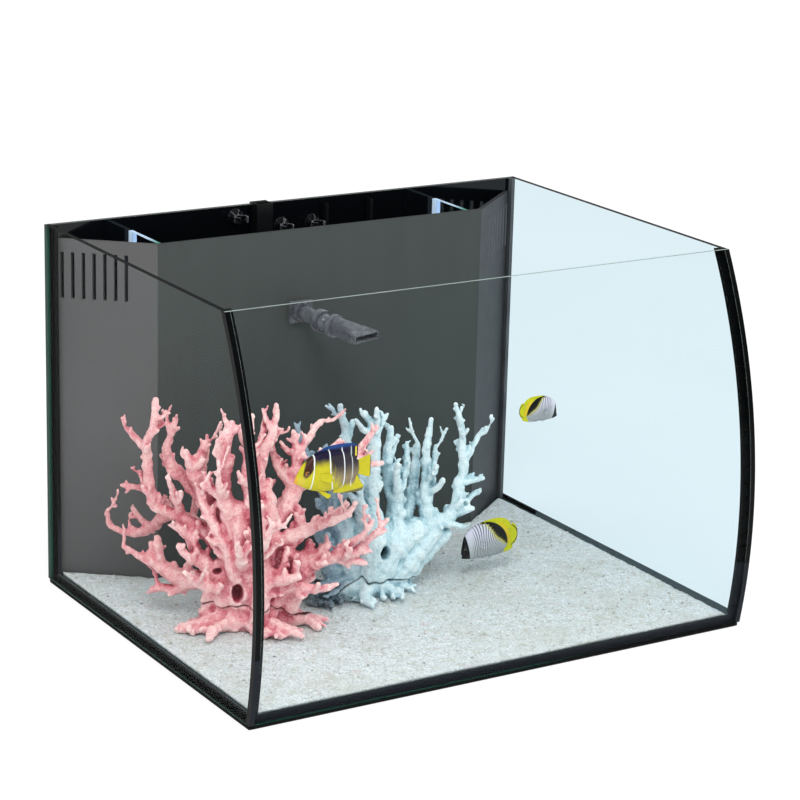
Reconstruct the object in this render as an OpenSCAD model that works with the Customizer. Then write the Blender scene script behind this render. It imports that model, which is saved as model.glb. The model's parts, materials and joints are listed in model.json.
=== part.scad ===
// Rimless aquarium with a bowed front pane and a filter chamber behind a divider.
// Origin: centre of the outer box at the underside of the mat. +Z up, the front faces -Y.
// All lengths in millimetres, all angles in degrees.

/* [Tank] */
// Overall width
tank_w = 600; // [560:1:640]
// Overall depth, at the widest part of the bow
tank_d = 478; // [460:1:500]
// Height of the glass rim above the floor
tank_h = 405; // [385:1:425]
// Thickness of the wall panes
glass_t = 6; // [5:0.5:8]
// Thickness of the base pane
base_t = 6; // [5:0.5:8]
// Thickness of the foam mat under the tank
mat_t = 5; // [3:0.5:6]
// Outer radius of the bowed front pane
bow_r = 605; // [560:5:700]
// Height of the front-most line of the bow
bow_z = 125; // [110:1:140]

/* [Silicone] */
// Thickness of a glued joint between two panes
joint_t = 0.8; // [0.5:0.1:1.2]
// Width of the black band at each front corner
band_w = 12; // [10:0.5:14]
// Width of the bead along the bottom edges
bead = 5; // [3:0.5:6]
// Width and depth of the rear corner strips
rear_strip = [4, 7]; // [3:1:9]

/* [Filter chamber] */
// Outside of the back pane to the front of the divider
chamber_d = 79; // [74:1:90]
// Half length of the straight middle of the divider
divider_half = 205; // [200:1:210]
// Thickness of the divider, the weir panels and the baffles
acrylic_t = 5; // [4:0.5:6]
// Height of the divider's top edge above the floor
divider_top = 390; // [380:1:396]
// Inset of each weir panel's rear end from the tank's side
weir_inset = 9; // [8:0.5:10]
// Number of overflow slots in each weir panel
slot_count = 7; // [5:1:7]
// Spacing of the overflow slots
slot_pitch = 11.75; // [10:0.25:12]
// Width of an overflow slot
slot_w = 4; // [3:0.5:5]
// Height of an overflow slot
slot_h = 51; // [40:1:60]
// Gap under each baffle
baffle_gap = 40; // [30:1:50]

/* [Return nozzle] */
// Sideways place of the nozzle, from the middle of the tank
nozzle_x = -31; // [-40:1:-20]
// Height of the nozzle above the floor
nozzle_z = 298; // [270:1:310]
// Turn of the nozzle to the right at rest
nozzle_pan = 15; // [0:1:18]
// Droop of the nozzle at rest
nozzle_dip = 4; // [0:1:8]
// Distance from the divider to the centre of the ball
ball_reach = 52; // [48:1:60]
// Radius of the ball
ball_r = 10; // [10:0.5:11]
// Width of the flat mouth
mouth_w = 36; // [30:1:40]

/* [Pump and filter media] */
// Inside radius of the return hose
hose_bore_r = 6; // [5:0.5:6.5]
// Width of a media basket
basket_w = 52; // [48:1:56]
// Height of a media basket
basket_h = 240; // [200:5:260]

/* [Contents] */
// Depth of the sand on the base pane
sand_t = 4; // [3:0.5:6]
// Gap between pieces that lie side by side
gap = 0.3; // [0.3:0.05:0.5]

/* [Hidden] */

$fn = 64;
half_w = tank_w / 2;
back_y = tank_d / 2;
in_x = half_w - glass_t;             // inner face of the side panes
in_back = back_y - glass_t;          // inner face of the back pane
bow_y = bow_r - tank_d / 2;          // axis of the bow, which runs along X at height bow_z
in_r = bow_r - glass_t;              // inner radius of the front pane
side_r = in_r - joint_t;             // front edge of the side panes
base_z = mat_t + base_t;             // top of the base pane
div_y = back_y - chamber_d;          // front face of the divider
film = 1;                            // joint round the base pane
band_in = half_w - band_w;           // inner edge of the black corner bands

// Weir panel: its front face runs from weir_a at the divider to weir_b at the rear corner
weir_a = [divider_half, div_y];
weir_b = [half_w - weir_inset, in_back];
weir_dir = weir_b - weir_a;
weir_len = norm(weir_dir);
weir_turn = atan2(weir_dir[1], weir_dir[0]);
slot_top = divider_top - 14;
slot_first = 8;                      // first slot's middle, from the rear end of the panel

// Pump
pump_x = nozzle_x;                   // the outlet stands under the bulkhead
pump_y = div_y + acrylic_t + 34;     // middle of the chamber
pump_z = base_z + 30;                // impeller axis
volute_r = 22;
volute_w = 24;
volute_x = pump_x + volute_w / 2;    // face between the volute and the housing
volute_end = volute_x - volute_w;    // face between the volute and the intake cap
body_len = 46;
body_half = 21;
rotor_bore_r = 10;
rotor_r = 9;
core_bore_r = 12;
core_half = 17;
shaft_r = 1.5;
bush_r = 4;
bush_len = 4;
rear_bush_x = volute_x + 31;
front_bush_x = volute_end - 1;
outlet_top = pump_z + 44;

// Hose and bulkhead
hose_r = hose_bore_r + 2;
hose_z = [outlet_top - 14, nozzle_z - 14];
barrel_r = 10;
barrel_back = div_y + acrylic_t + 14;
neck_r = 8;
neck_bore = 5;
ball_y = div_y - ball_reach;
cup_r = ball_r + 2.6;
mouth_h = 9;
fan_len = 50;                        // ring to mouth

// Media basket, between the rails on the back pane
basket_x = 69;
basket_y = div_y + acrylic_t + 35;
basket_d = 56;
basket_z = base_z + 12;
wall = 2;

coral_z = base_z + sand_t;

glass_tint = [0.80, 0.93, 0.92, 0.35];
acrylic_clear = [0.75, 0.88, 0.95, 0.5];
acrylic_dark = [0.27, 0.29, 0.29];
weir_grey = [0.38, 0.38, 0.39];
silicone = [0.03, 0.03, 0.035];
smoke = [0.62, 0.66, 0.66, 0.6];
pink = [0.90, 0.52, 0.53];
pale_blue = [0.66, 0.80, 0.84];

// ---------- helpers ----------

// Round bar or disc along X, starting at x
module x_rod(x, length, r) {
    translate([x, 0, 0]) rotate([0, 90, 0]) cylinder(h = length, r = r);
}

// Round bar along Y, starting at y
module y_rod(y, length, r) {
    translate([0, y, 0]) rotate([-90, 0, 0]) cylinder(h = length, r = r);
}

// Everything behind the bow at radius r, between two widths
module bow_solid(r, x1, x2) {
    translate([x1, bow_y, bow_z]) rotate([0, 90, 0]) cylinder(h = x2 - x1, r = r, $fn = 360);
}

// Curved layer of the bow between two radii, cut level with the panes
module bow_layer(r1, r2, x1, x2, z1) {
    intersection() {
        difference() {
            bow_solid(r2, x1, x2);
            bow_solid(r1, x1 - 1, x2 + 1);
        }
        translate([-half_w, -back_y - 1, z1]) cube([tank_w, back_y, tank_h - z1]);
    }
}

// Plate behind the bow at radius r
module bow_plate(r, x, y2, z1, z2) {
    intersection() {
        bow_solid(r, -x, x);
        translate([-x, -back_y, z1]) cube([2 * x, y2 + back_y, z2 - z1]);
    }
}

// Mirrored copy for the left side
module on_left() {
    mirror([1, 0, 0]) children();
}

// Moves a shape that points along -Y to the ball, turned and dipped as the nozzle stands
module at_ball() {
    translate([nozzle_x, ball_y, nozzle_z]) rotate([0, 0, nozzle_pan])
        rotate([nozzle_dip, 0, 0]) children();
}

// Chain of round limbs through points [x, y, z, radius]
module limb(points) {
    for (i = [0:len(points) - 2]) {
        hull() {
            for (p = [points[i], points[i + 1]])
                translate([p[0], p[1], p[2]]) sphere(r = p[3], $fn = 14);
        }
    }
}

// ---------- tank ----------

// Distance in front of the origin of the bow's outer face at height z
function bow_depth(z) = sqrt(bow_r * bow_r - (z - bow_z) * (z - bow_z)) - bow_y;

// Foam mat, a little smaller than the tank's footprint
module levelling_mat() {
    front = bow_depth(mat_t) - 2;
    color([0.06, 0.06, 0.07])
        translate([-half_w + 1, -front, 0]) cube([tank_w - 2, front + back_y - 1, mat_t]);
}

module base_glass() {
    color(glass_tint)
        bow_plate(side_r - film, in_x - film, in_back - film, mat_t, base_z);
}

module right_glass() {
    color(glass_tint)
        intersection() {
            bow_solid(side_r, in_x, half_w);
            translate([in_x, -back_y, mat_t]) cube([glass_t, tank_d, tank_h - mat_t]);
        }
}

module left_glass() {
    on_left() right_glass();
}

module front_glass() {
    color(glass_tint)
        bow_layer(in_r, bow_r, -half_w + joint_t, half_w - joint_t, mat_t);
}

module back_glass() {
    color([0.02, 0.02, 0.025])
        translate([-in_x, in_back, mat_t]) cube([2 * in_x, glass_t, tank_h - mat_t]);
}

// Joint round the base pane and the bead above it, in the main tank
module base_seam() {
    front_limit = div_y - 8;
    color(silicone) {
        difference() {
            bow_plate(side_r, in_x, in_back, mat_t, base_z);
            bow_plate(side_r - film, in_x - film, in_back - film, mat_t - 1, base_z + 1);
        }
        difference() {
            bow_plate(side_r, in_x, front_limit, base_z, base_z + bead);
            bow_plate(side_r - bead, in_x - bead, front_limit + 1, base_z - 1, base_z + bead + 1);
        }
    }
}

// Black silicone over a front corner: pane end, joint and inside bead
module front_right_trim() {
    color(silicone) {
        bow_layer(in_r - joint_t, bow_r, half_w - joint_t, half_w, mat_t);
        bow_layer(in_r - joint_t, in_r, band_in, half_w - joint_t, mat_t);
        bow_layer(in_r - joint_t - 3, in_r - joint_t, band_in, in_x, base_z + bead);
    }
}

module front_left_trim() {
    on_left() front_right_trim();
}

module rear_right_trim() {
    color(silicone)
        translate([in_x - rear_strip[0], in_back - rear_strip[1], base_z])
            cube([rear_strip[0], rear_strip[1], tank_h - base_z]);
}

module rear_left_trim() {
    on_left() rear_right_trim();
}

// ---------- filter chamber ----------

module rear_divider() {
    color(acrylic_dark)
        difference() {
            translate([-divider_half, div_y, base_z])
                cube([2 * divider_half, acrylic_t, divider_top - base_z]);
            translate([nozzle_x, 0, nozzle_z]) y_rod(div_y - 1, acrylic_t + 2, barrel_r + 0.2);
        }
}

// Slotted overflow panel from the divider to the rear corner
module right_weir_panel() {
    color(weir_grey)
        difference() {
            intersection() {
                translate([weir_a[0], weir_a[1], base_z]) rotate([0, 0, weir_turn])
                    cube([weir_len, acrylic_t, divider_top - base_z]);
                translate([divider_half, div_y, 0])
                    cube([in_x - divider_half, in_back - div_y, tank_h]);
            }
            translate([in_x - rear_strip[0], in_back - rear_strip[1], 0])
                cube([rear_strip[0] + 1, rear_strip[1] + 1, tank_h]);
            translate([weir_a[0], weir_a[1], slot_top - slot_h]) rotate([0, 0, weir_turn])
                for (i = [0:slot_count - 1])
                    translate([weir_len - slot_first - i * slot_pitch - slot_w / 2, -1, 0])
                        cube([slot_w, acrylic_t + 2, slot_h]);
        }
}

module left_weir_panel() {
    on_left() right_weir_panel();
}

// Clear baffle: water passes under it
module baffle(x) {
    color(acrylic_clear)
        translate([x - acrylic_t / 2, div_y + acrylic_t, base_z + baffle_gap])
            cube([acrylic_t, in_back - div_y - acrylic_t, divider_top - base_z - baffle_gap]);
}

module left_baffle() {
    baffle(-201);
}

module right_baffle() {
    baffle(187);
}

// Upright channel for the pump's lead, hooked over the back pane
module cable_channel() {
    channel_x = -52;
    channel_w = 20;
    channel_d = 12;
    foot_z = 120;
    color([0.08, 0.08, 0.09]) {
        difference() {
            translate([channel_x, in_back - channel_d, foot_z])
                cube([channel_w, channel_d, tank_h - foot_z]);
            translate([channel_x + wall, in_back - channel_d + wall, foot_z - 1])
                cube([channel_w - 2 * wall, channel_d - 2 * wall, tank_h - foot_z + 2]);
        }
        difference() {
            translate([channel_x, in_back - channel_d, tank_h])
                cube([channel_w, channel_d + glass_t, wall]);
            translate([channel_x + wall, in_back - channel_d + wall, tank_h - 1])
                cube([channel_w - 2 * wall, channel_d - 2 * wall, wall + 2]);
        }
    }
}

// Guide rails that hold the media basket against the back pane
module basket_rails() {
    color([0.08, 0.08, 0.09])
        for (side = [-1, 1])
            translate([basket_x + side * (basket_w / 2 + 3) - 2, in_back - 8, base_z + 30])
                cube([4, 8, tank_h - base_z - 36]);
}

// Suction cup with an open ring clip, standing out along -Y from a wall at y
module clip_on_wall(x, y, z) {
    color([0.75, 0.78, 0.80, 0.7])
        translate([x, y, z]) {
            rotate([90, 0, 0])
                rotate_extrude()
                    polygon([[0, 0.2], [9, 0.2], [9, 1], [4, 4], [3, 7], [0, 7]]);
            difference() {
                translate([0, -14, -3]) cylinder(h = 6, r = 8);
                translate([0, -14, -4]) cylinder(h = 8, r = 6.2);
                translate([-4, -23, -4]) cube([8, 9, 8]);
            }
        }
}

module cable_clip() {
    clip_on_wall(-73, in_back, tank_h - 12);
}

module left_heater_clip() {
    clip_on_wall(-15, in_back, divider_top - 12);
}

module right_heater_clip() {
    clip_on_wall(25, in_back, divider_top - 12);
}

// ---------- pump ----------

// Places parts built along X on the impeller axis
module on_pump_axis() {
    translate([0, pump_y, pump_z]) children();
}

// Square block round the rotor chamber, with room for it in the middle
module core_block(clear) {
    side = core_half - clear;
    difference() {
        translate([volute_x + 9 + clear, -side, -side]) cube([18 - 2 * clear, 2 * side, 2 * side]);
        x_rod(volute_x + 8, 20, core_bore_r + clear);
    }
}

module pump_housing() {
    color([0.10, 0.10, 0.11])
        on_pump_axis()
            difference() {
                translate([volute_x, -body_half, -body_half])
                    cube([body_len, 2 * body_half, 2 * body_half]);
                x_rod(volute_x - 1, 32, rotor_bore_r);
                x_rod(rear_bush_x - 1, bush_len + 1, bush_r);
                difference() {
                    x_rod(volute_x - 1, 2.5, 20.4);
                    x_rod(volute_x - 2, 4, 18.6);
                }
                core_block(0);
                translate([0, 0, 12]) x_rod(volute_x + body_len - 6, 7, 5);
            }
}

module pump_motor_core() {
    color([0.55, 0.33, 0.18]) on_pump_axis() core_block(0.1);
}

module pump_o_ring() {
    color(silicone)
        on_pump_axis()
            translate([volute_x + 0.75, 0, 0]) rotate([0, 90, 0])
                rotate_extrude() translate([19.5, 0]) circle(r = 0.74);
}

module pump_volute() {
    color([0.12, 0.12, 0.13])
        on_pump_axis()
            difference() {
                union() {
                    x_rod(volute_end, volute_w, volute_r);
                    translate([pump_x, 0, 10]) cylinder(h = outlet_top - 14 - pump_z - 10, r = 8);
                    translate([pump_x, 0, 10])
                        cylinder(h = outlet_top - pump_z - 10, r = hose_bore_r - 0.05);
                }
                x_rod(volute_end - 1, volute_w + 2, 17);
                translate([pump_x, 0, 5]) cylinder(h = 60, r = hose_bore_r - 1.8);
            }
}

// Slotted cap over the volute, with the front bush in its middle
module pump_intake_cap() {
    color([0.12, 0.12, 0.13])
        on_pump_axis()
            difference() {
                union() {
                    difference() {
                        x_rod(volute_end - 8, 8, volute_r);
                        x_rod(volute_end - 6, 7, volute_r - 2);
                    }
                    x_rod(volute_end - 7, 10, bush_r + 1);
                }
                x_rod(front_bush_x, bush_len + 1, bush_r);
                x_rod(volute_end - 9, 4, 2.05);
                for (side = [-1, 1])
                    for (i = [0:3])
                        translate([volute_end - 9, side * (7 + i * 4) - 1, -8])
                            cube([4, 2, 16 - i * 2]);
            }
}

// Flow dial: a round shutter with a grip, on a pin in the cap
module flow_dial() {
    color([0.75, 0.76, 0.78])
        on_pump_axis() {
            x_rod(volute_end - 10.5, 2.2, 9);
            x_rod(volute_end - 10.5, 5, 2);
            translate([volute_end - 13, -1.5, -8]) cube([2.6, 3, 16]);
        }
}

module impeller() {
    color([0.92, 0.92, 0.90])
        on_pump_axis()
            difference() {
                union() {
                    x_rod(volute_x + 3, 26, rotor_r);
                    x_rod(volute_end + 5, volute_w, bush_r);
                    x_rod(volute_end + 18.5, 1.5, 14);
                    for (i = [0:5])
                        rotate([i * 60, 0, 0])
                            translate([volute_end + 5, -0.8, 3]) cube([14, 1.6, 11]);
                }
                x_rod(volute_end, 60, shaft_r + 0.03);
            }
}

module impeller_shaft() {
    color([0.95, 0.95, 0.93])
        on_pump_axis() x_rod(front_bush_x + 1, rear_bush_x + 3 - front_bush_x - 1, shaft_r);
}

module bush(x) {
    color([0.15, 0.15, 0.16])
        on_pump_axis()
            difference() {
                x_rod(x, bush_len - 0.1, bush_r - 0.02);
                x_rod(x - 1, bush_len + 2, shaft_r + 0.02);
            }
}

module front_bush() {
    bush(front_bush_x + 0.1);
}

module rear_bush() {
    bush(rear_bush_x);
}

// Four suction cups under the housing
module pump_feet() {
    foot_h = pump_z - body_half - base_z;
    color([0.10, 0.10, 0.11])
        for (dx = [8, 38])
            for (dy = [-14, 14])
                translate([volute_x + dx, pump_y + dy, base_z])
                    rotate_extrude()
                        polygon([[0, 0.2], [6.5, 0.2], [6.5, 1], [3, 4], [3, foot_h], [0, foot_h]]);
}

// Gland where the pump's lead comes out
module pump_cable_gland() {
    gland_x = volute_x + body_len;
    color([0.08, 0.08, 0.09])
        translate([gland_x, pump_y, pump_z + 12]) rotate([0, 90, 0])
            rotate_extrude()
                polygon([[0, -5.9], [4.95, -5.9], [4.95, 0], [6, 0], [6, 3], [4, 10], [2.5, 10],
                    [2.5, 7], [0, 7]]);
}

// ---------- hose and bulkhead ----------

module return_hose() {
    color(smoke)
        difference() {
            translate([pump_x, pump_y, hose_z[0]]) cylinder(h = hose_z[1] - hose_z[0], r = hose_r);
            translate([pump_x, pump_y, hose_z[0] - 1])
                cylinder(h = hose_z[1] - hose_z[0] + 2, r = hose_bore_r);
        }
}

// Spring clamps at both ends of the hose
module hose_clamps() {
    clamp_w = 6;
    color([0.80, 0.80, 0.82])
        for (z = [hose_z[0] + 4, hose_z[1] - 10])
            translate([pump_x, pump_y, z])
                difference() {
                    union() {
                        cylinder(h = clamp_w, r = hose_r + 1.4);
                        translate([-3, hose_r, 0]) cube([6, 5, clamp_w]);
                    }
                    translate([0, 0, -1]) cylinder(h = clamp_w + 2, r = hose_r + 0.05);
                    translate([-1, hose_r - 2, -1]) cube([2, 8, clamp_w + 2]);
                }
}

module hose_elbow() {
    spigot_r = hose_bore_r - 0.05;
    bore = hose_bore_r - 1.8;
    color([0.10, 0.10, 0.11])
        difference() {
            union() {
                translate([pump_x, pump_y, nozzle_z - 12]) cylinder(h = 12, r = neck_r);
                translate([pump_x, pump_y, nozzle_z - 30]) cylinder(h = 30, r = spigot_r);
                translate([pump_x, pump_y, nozzle_z]) sphere(r = neck_r);
                translate([nozzle_x, 0, nozzle_z])
                    y_rod(barrel_back + 2, pump_y - barrel_back - 2, neck_r);
                translate([nozzle_x, 0, nozzle_z]) y_rod(barrel_back - 10, 12, spigot_r);
            }
            translate([pump_x, pump_y, nozzle_z - 31]) cylinder(h = 31, r = bore);
            translate([nozzle_x, 0, nozzle_z]) y_rod(barrel_back - 11, 31, bore);
        }
}

// Flange in front of the divider with its barrel through the hole
module bulkhead_flange() {
    plate_w = 28;
    plate_h = 24;
    color(smoke)
        translate([nozzle_x, 0, nozzle_z])
            difference() {
                union() {
                    translate([-plate_w / 2, div_y - 5, -plate_h / 2]) cube([plate_w, 4, plate_h]);
                    y_rod(div_y - 12, 8, 11);
                    y_rod(div_y - 5, barrel_back - div_y + 5, barrel_r);
                }
                y_rod(div_y - 13, 11, neck_r - 0.45);
                y_rod(div_y - 3, 40, hose_bore_r);
            }
}

module bulkhead_gasket() {
    color(silicone)
        translate([nozzle_x, 0, nozzle_z])
            difference() {
                y_rod(div_y - 1, 1, 11.9);
                y_rod(div_y - 2, 3, barrel_r + 0.1);
            }
}

module bulkhead_nut() {
    color([0.10, 0.10, 0.11])
        translate([nozzle_x, 0, nozzle_z])
            difference() {
                translate([0, div_y + acrylic_t, 0]) rotate([-90, 0, 0])
                    cylinder(h = 7, r = 15, $fn = 6);
                y_rod(div_y, 20, barrel_r + 0.05);
            }
}

// ---------- return nozzle ----------

// Tube that twists in the flange, with the ball cup at its front
module nozzle_neck() {
    cup_rim = -4;                    // front of the cup, from the ball's centre
    cup_back = 8;
    cone_back = 14;
    shoulder = ball_reach - 12.3;    // just in front of the flange
    stub_end = ball_reach - 2.2;
    color(smoke)
        translate([nozzle_x, ball_y, nozzle_z])
            difference() {
                rotate([-90, 0, 0])
                    rotate_extrude()
                        polygon([[neck_bore, cup_rim], [cup_r, cup_rim], [cup_r, cup_back],
                            [neck_r, cone_back], [neck_r, shoulder], [neck_r - 0.5, shoulder],
                            [neck_r - 0.5, stub_end], [neck_bore, stub_end]]);
                rotate([-90, 0, 0]) sphere(r = ball_r + 0.05, $fn = 96);
            }
}

// Ball with the ring that the fan turns on
module nozzle_ball() {
    color(smoke)
        at_ball()
            difference() {
                union() {
                    sphere(r = ball_r, $fn = 96);
                    y_rod(-15, 15, 5.5);
                    y_rod(-20, 5, cup_r);
                    y_rod(-27, 8, 7);
                }
                y_rod(-30, 50, 3.8);
            }
}

// Flat mouth, from a round socket to a wide slot
module nozzle_fan() {
    socket_y = -20.3;
    mouth_y = socket_y - fan_len + 4;
    inner_w = mouth_w - 3;
    inner_h = mouth_h - 3;
    color(smoke)
        at_ball()
            difference() {
                union() {
                    y_rod(socket_y - 9, 9, ball_r + 0.5);
                    hull() {
                        y_rod(socket_y - 10, 1, ball_r + 0.5);
                        translate([-mouth_w / 2, mouth_y, -mouth_h / 2])
                            cube([mouth_w, 6, mouth_h]);
                    }
                }
                y_rod(socket_y - 8, 9, 7.05);
                hull() {
                    y_rod(socket_y - 9, 1.5, 7.05);
                    translate([-inner_w / 2, mouth_y - 1, -inner_h / 2]) cube([inner_w, 6, inner_h]);
                }
            }
}

// ---------- filter media ----------

module media_basket() {
    x1 = basket_x - basket_w / 2;
    y1 = basket_y - basket_d / 2;
    low = base_z + gap;
    color([0.10, 0.10, 0.11])
        difference() {
            translate([x1, y1, low]) cube([basket_w, basket_d, basket_z + basket_h - low]);
            translate([x1 + wall, y1 + wall, basket_z + wall])
                cube([basket_w - 2 * wall, basket_d - 2 * wall, basket_h]);
            translate([x1 + wall, y1 + wall, low - 1])
                cube([basket_w - 2 * wall, basket_d - 2 * wall, basket_z - low + 1]);
            for (i = [0:3])
                translate([x1 + 8 + i * 10, y1 + 8, basket_z - 1]) cube([6, basket_d - 16, wall + 2]);
            for (i = [0:3])
                translate([x1 + 8 + i * 10, y1 - 1, low - 1]) cube([6, basket_d + 2, 9]);
        }
}

// Bail across the top of the basket
module basket_handle() {
    reach = basket_w - 2 * wall - 0.2;
    top = basket_z + basket_h;
    color([0.85, 0.85, 0.83]) {
        translate([basket_x - reach / 2, basket_y - 4, top - 20]) cube([3, 8, 50]);
        translate([basket_x + reach / 2 - 3, basket_y - 4, top - 20]) cube([3, 8, 50]);
        translate([basket_x - reach / 2, basket_y - 4, top + 30]) cube([reach, 8, 4]);
    }
}

// Porous ceramic block with upright passages
module bio_block() {
    size = [basket_w - 2 * wall - 1, basket_d - 2 * wall - 1, 150];
    color([0.86, 0.83, 0.76])
        difference() {
            translate([basket_x - size[0] / 2, basket_y - size[1] / 2, basket_z + wall]) cube(size);
            for (i = [-1:1])
                for (j = [-1:1])
                    translate([basket_x + i * 14, basket_y + j * 15, basket_z])
                        cylinder(h = 160, r = 4);
        }
}

// Sponge block that fills the chamber from front to back
module sponge(x, width) {
    color([0.16, 0.17, 0.18])
        translate([x, div_y + acrylic_t + 0.4, base_z + gap])
            cube([width, in_back - div_y - acrylic_t - 0.8, 250]);
}

module left_sponge() {
    sponge(-198, 60);
}

module right_sponge() {
    sponge(124, 60);
}

// ---------- contents ----------

module sand_bed() {
    edge = in_x - bead - 0.2;
    strip_y = in_back - rear_strip[1] - 1;
    strip_x = weir_a[0] + (strip_y - div_y) * weir_dir[0] / weir_dir[1];
    color([0.90, 0.89, 0.86])
        intersection() {
            bow_solid(side_r - bead - 0.2, -edge, edge);
            translate([0, 0, base_z])
                linear_extrude(height = sand_t)
                    polygon([[-edge, -back_y], [edge, -back_y], [edge, strip_y],
                        [strip_x, strip_y], [divider_half, div_y - 0.2],
                        [-divider_half, div_y - 0.2], [-strip_x, strip_y], [-edge, strip_y]]);
        }
}

// Low star-shaped rock: toes spread from a middle point
module reef_base(middle, toes, grow) {
    intersection() {
        union() {
            for (toe = toes)
                hull() {
                    translate([middle[0], middle[1], coral_z + 6])
                        sphere(r = 20 + grow, $fn = 20);
                    translate([toe[0], toe[1], coral_z + 2]) sphere(r = 7 + grow, $fn = 12);
                }
        }
        translate([-half_w, -back_y, coral_z]) cube([tank_w, tank_d, 60]);
    }
}

// Limbs cut off where they meet the base below them
module reef_limbs(limbs, middle, toes) {
    difference() {
        for (points = limbs)
            limb(points);
        reef_base(middle, toes, gap);
        translate([-half_w, -back_y, 0]) cube([tank_w, tank_d, coral_z + gap]);
    }
}

pink_middle = [-190, -10];
pink_toes = [[-262, 0], [-238, -26], [-188, -60], [-160, -84], [-112, -52], [-126, -10],
    [-165, 22], [-202, 34]];
pink_limbs = [
    [[-190, -8, 38, 22], [-195, -20, 80, 19], [-180, -30, 110, 14]],
    [[-195, -20, 80, 16], [-210, 0, 105, 12], [-240, 35, 130, 8], [-265, 50, 145, 7],
        [-275, 45, 205, 6], [-270, 40, 230, 5], [-266, 40, 258, 4]],
    [[-275, 45, 205, 5], [-283, 78, 220, 3.5]],
    [[-210, 0, 105, 11], [-215, 10, 135, 10], [-230, 40, 165, 8], [-245, 55, 190, 6],
        [-234, 60, 228, 4]],
    [[-215, 10, 135, 11], [-225, 20, 170, 12], [-243, 20, 204, 4.5]],
    [[-195, -20, 80, 16], [-215, -20, 160, 10], [-220, -20, 215, 9], [-210, -20, 242, 4.5]],
    [[-180, -30, 110, 12], [-200, -35, 185, 7], [-199, -40, 254, 3.5]],
    [[-210, 0, 105, 10], [-230, 70, 120, 8], [-255, 100, 95, 6], [-280, 120, 100, 4],
        [-285, 120, 116, 3]],
    [[-230, 70, 120, 7], [-262, 75, 150, 5], [-284, 85, 156, 3.5]],
    [[-195, -20, 80, 15], [-230, 30, 60, 12], [-260, 60, 75, 8], [-262, 60, 95, 4]],
    [[-260, 60, 75, 6], [-284, 82, 88, 3.5]],
    [[-230, 30, 60, 10], [-240, 42, 38, 7], [-262, 60, 34, 4.5]],
    [[-180, -30, 110, 13], [-180, -25, 190, 8], [-160, -20, 235, 5], [-159, -20, 256, 3.5]],
    [[-180, -25, 190, 7], [-165, -5, 231, 4]],
    [[-180, -30, 110, 13], [-130, -10, 155, 10], [-125, -5, 190, 7], [-128, 0, 216, 4]],
    [[-125, -5, 190, 6], [-94, 0, 224, 4]],
    [[-130, -10, 155, 9], [-110, -25, 180, 7], [-85, -22, 208, 4]],
    [[-110, -25, 180, 7], [-85, -40, 185, 6], [-50, -40, 222, 4]],
    [[-85, -40, 185, 5], [-42, -40, 181, 3.5]],
    [[-180, -30, 110, 12], [-130, -50, 125, 8], [-96, -60, 150, 4]],
    [[-185, -28, 90, 13], [-105, -50, 90, 8], [-75, -60, 100, 6], [-46, -60, 125, 3.5]],
    [[-105, -50, 90, 7], [-73, -60, 80, 4]],
    [[-190, -30, 65, 12], [-162, -78, 86, 4.5]]
];

module pink_coral_base() {
    color(pink) reef_base(pink_middle, pink_toes, 0);
}

module pink_coral() {
    color(pink) reef_limbs(pink_limbs, pink_middle, pink_toes);
}

blue_middle = [-25, 14];
blue_toes = [[-104, 26], [-94, -6], [-52, -22], [0, -24], [26, -4], [34, 32], [-18, 52],
    [-78, 48]];
blue_limbs = [
    [[-18, 14, 40, 24], [5, 8, 70, 20], [45, 5, 82, 13]],
    [[-15, 16, 60, 20], [-30, 20, 75, 15], [-50, 45, 105, 11], [-80, 50, 165, 7],
        [-94, 50, 204, 4]],
    [[-50, 45, 105, 10], [-40, 35, 140, 9], [-45, 30, 185, 7], [-54, 30, 226, 4]],
    [[-45, 30, 185, 6], [-36, 32, 204, 4]],
    [[-10, 15, 78, 16], [-25, 10, 120, 11], [-20, 10, 190, 8], [-36, 10, 221, 4]],
    [[-20, 10, 190, 6], [-26, 0, 227, 4]],
    [[-20, 10, 190, 6], [-12, 10, 214, 4]],
    [[5, 8, 72, 16], [10, 15, 110, 11], [0, 20, 160, 8], [5, 20, 196, 4]],
    [[0, 20, 160, 7], [19, 30, 183, 4]],
    [[10, 15, 110, 9], [-4, -10, 165, 4]],
    [[5, 8, 72, 14], [35, 25, 110, 10], [50, 40, 145, 7], [52, 40, 168, 4]],
    [[45, 5, 82, 12], [45, 10, 125, 9], [45, 10, 170, 6], [50, 10, 202, 4]],
    [[45, 10, 125, 7], [45, -12, 157, 4]],
    [[45, 5, 82, 11], [70, -5, 95, 10], [85, 0, 130, 8], [85, 0, 175, 6], [75, 0, 219, 3.5]],
    [[85, 0, 150, 6], [100, 5, 162, 5], [116, 10, 183, 3.5]],
    [[85, 0, 130, 6], [106, -10, 134, 3.5]],
    [[70, -5, 95, 7], [87, -20, 104, 4]],
    [[60, -2, 88, 7], [76, -20, 85, 4]]
];

module blue_coral_base() {
    color(pale_blue) reef_base(blue_middle, blue_toes, 0);
}

module blue_coral() {
    color(pale_blue) reef_limbs(blue_limbs, blue_middle, blue_toes);
}

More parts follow.
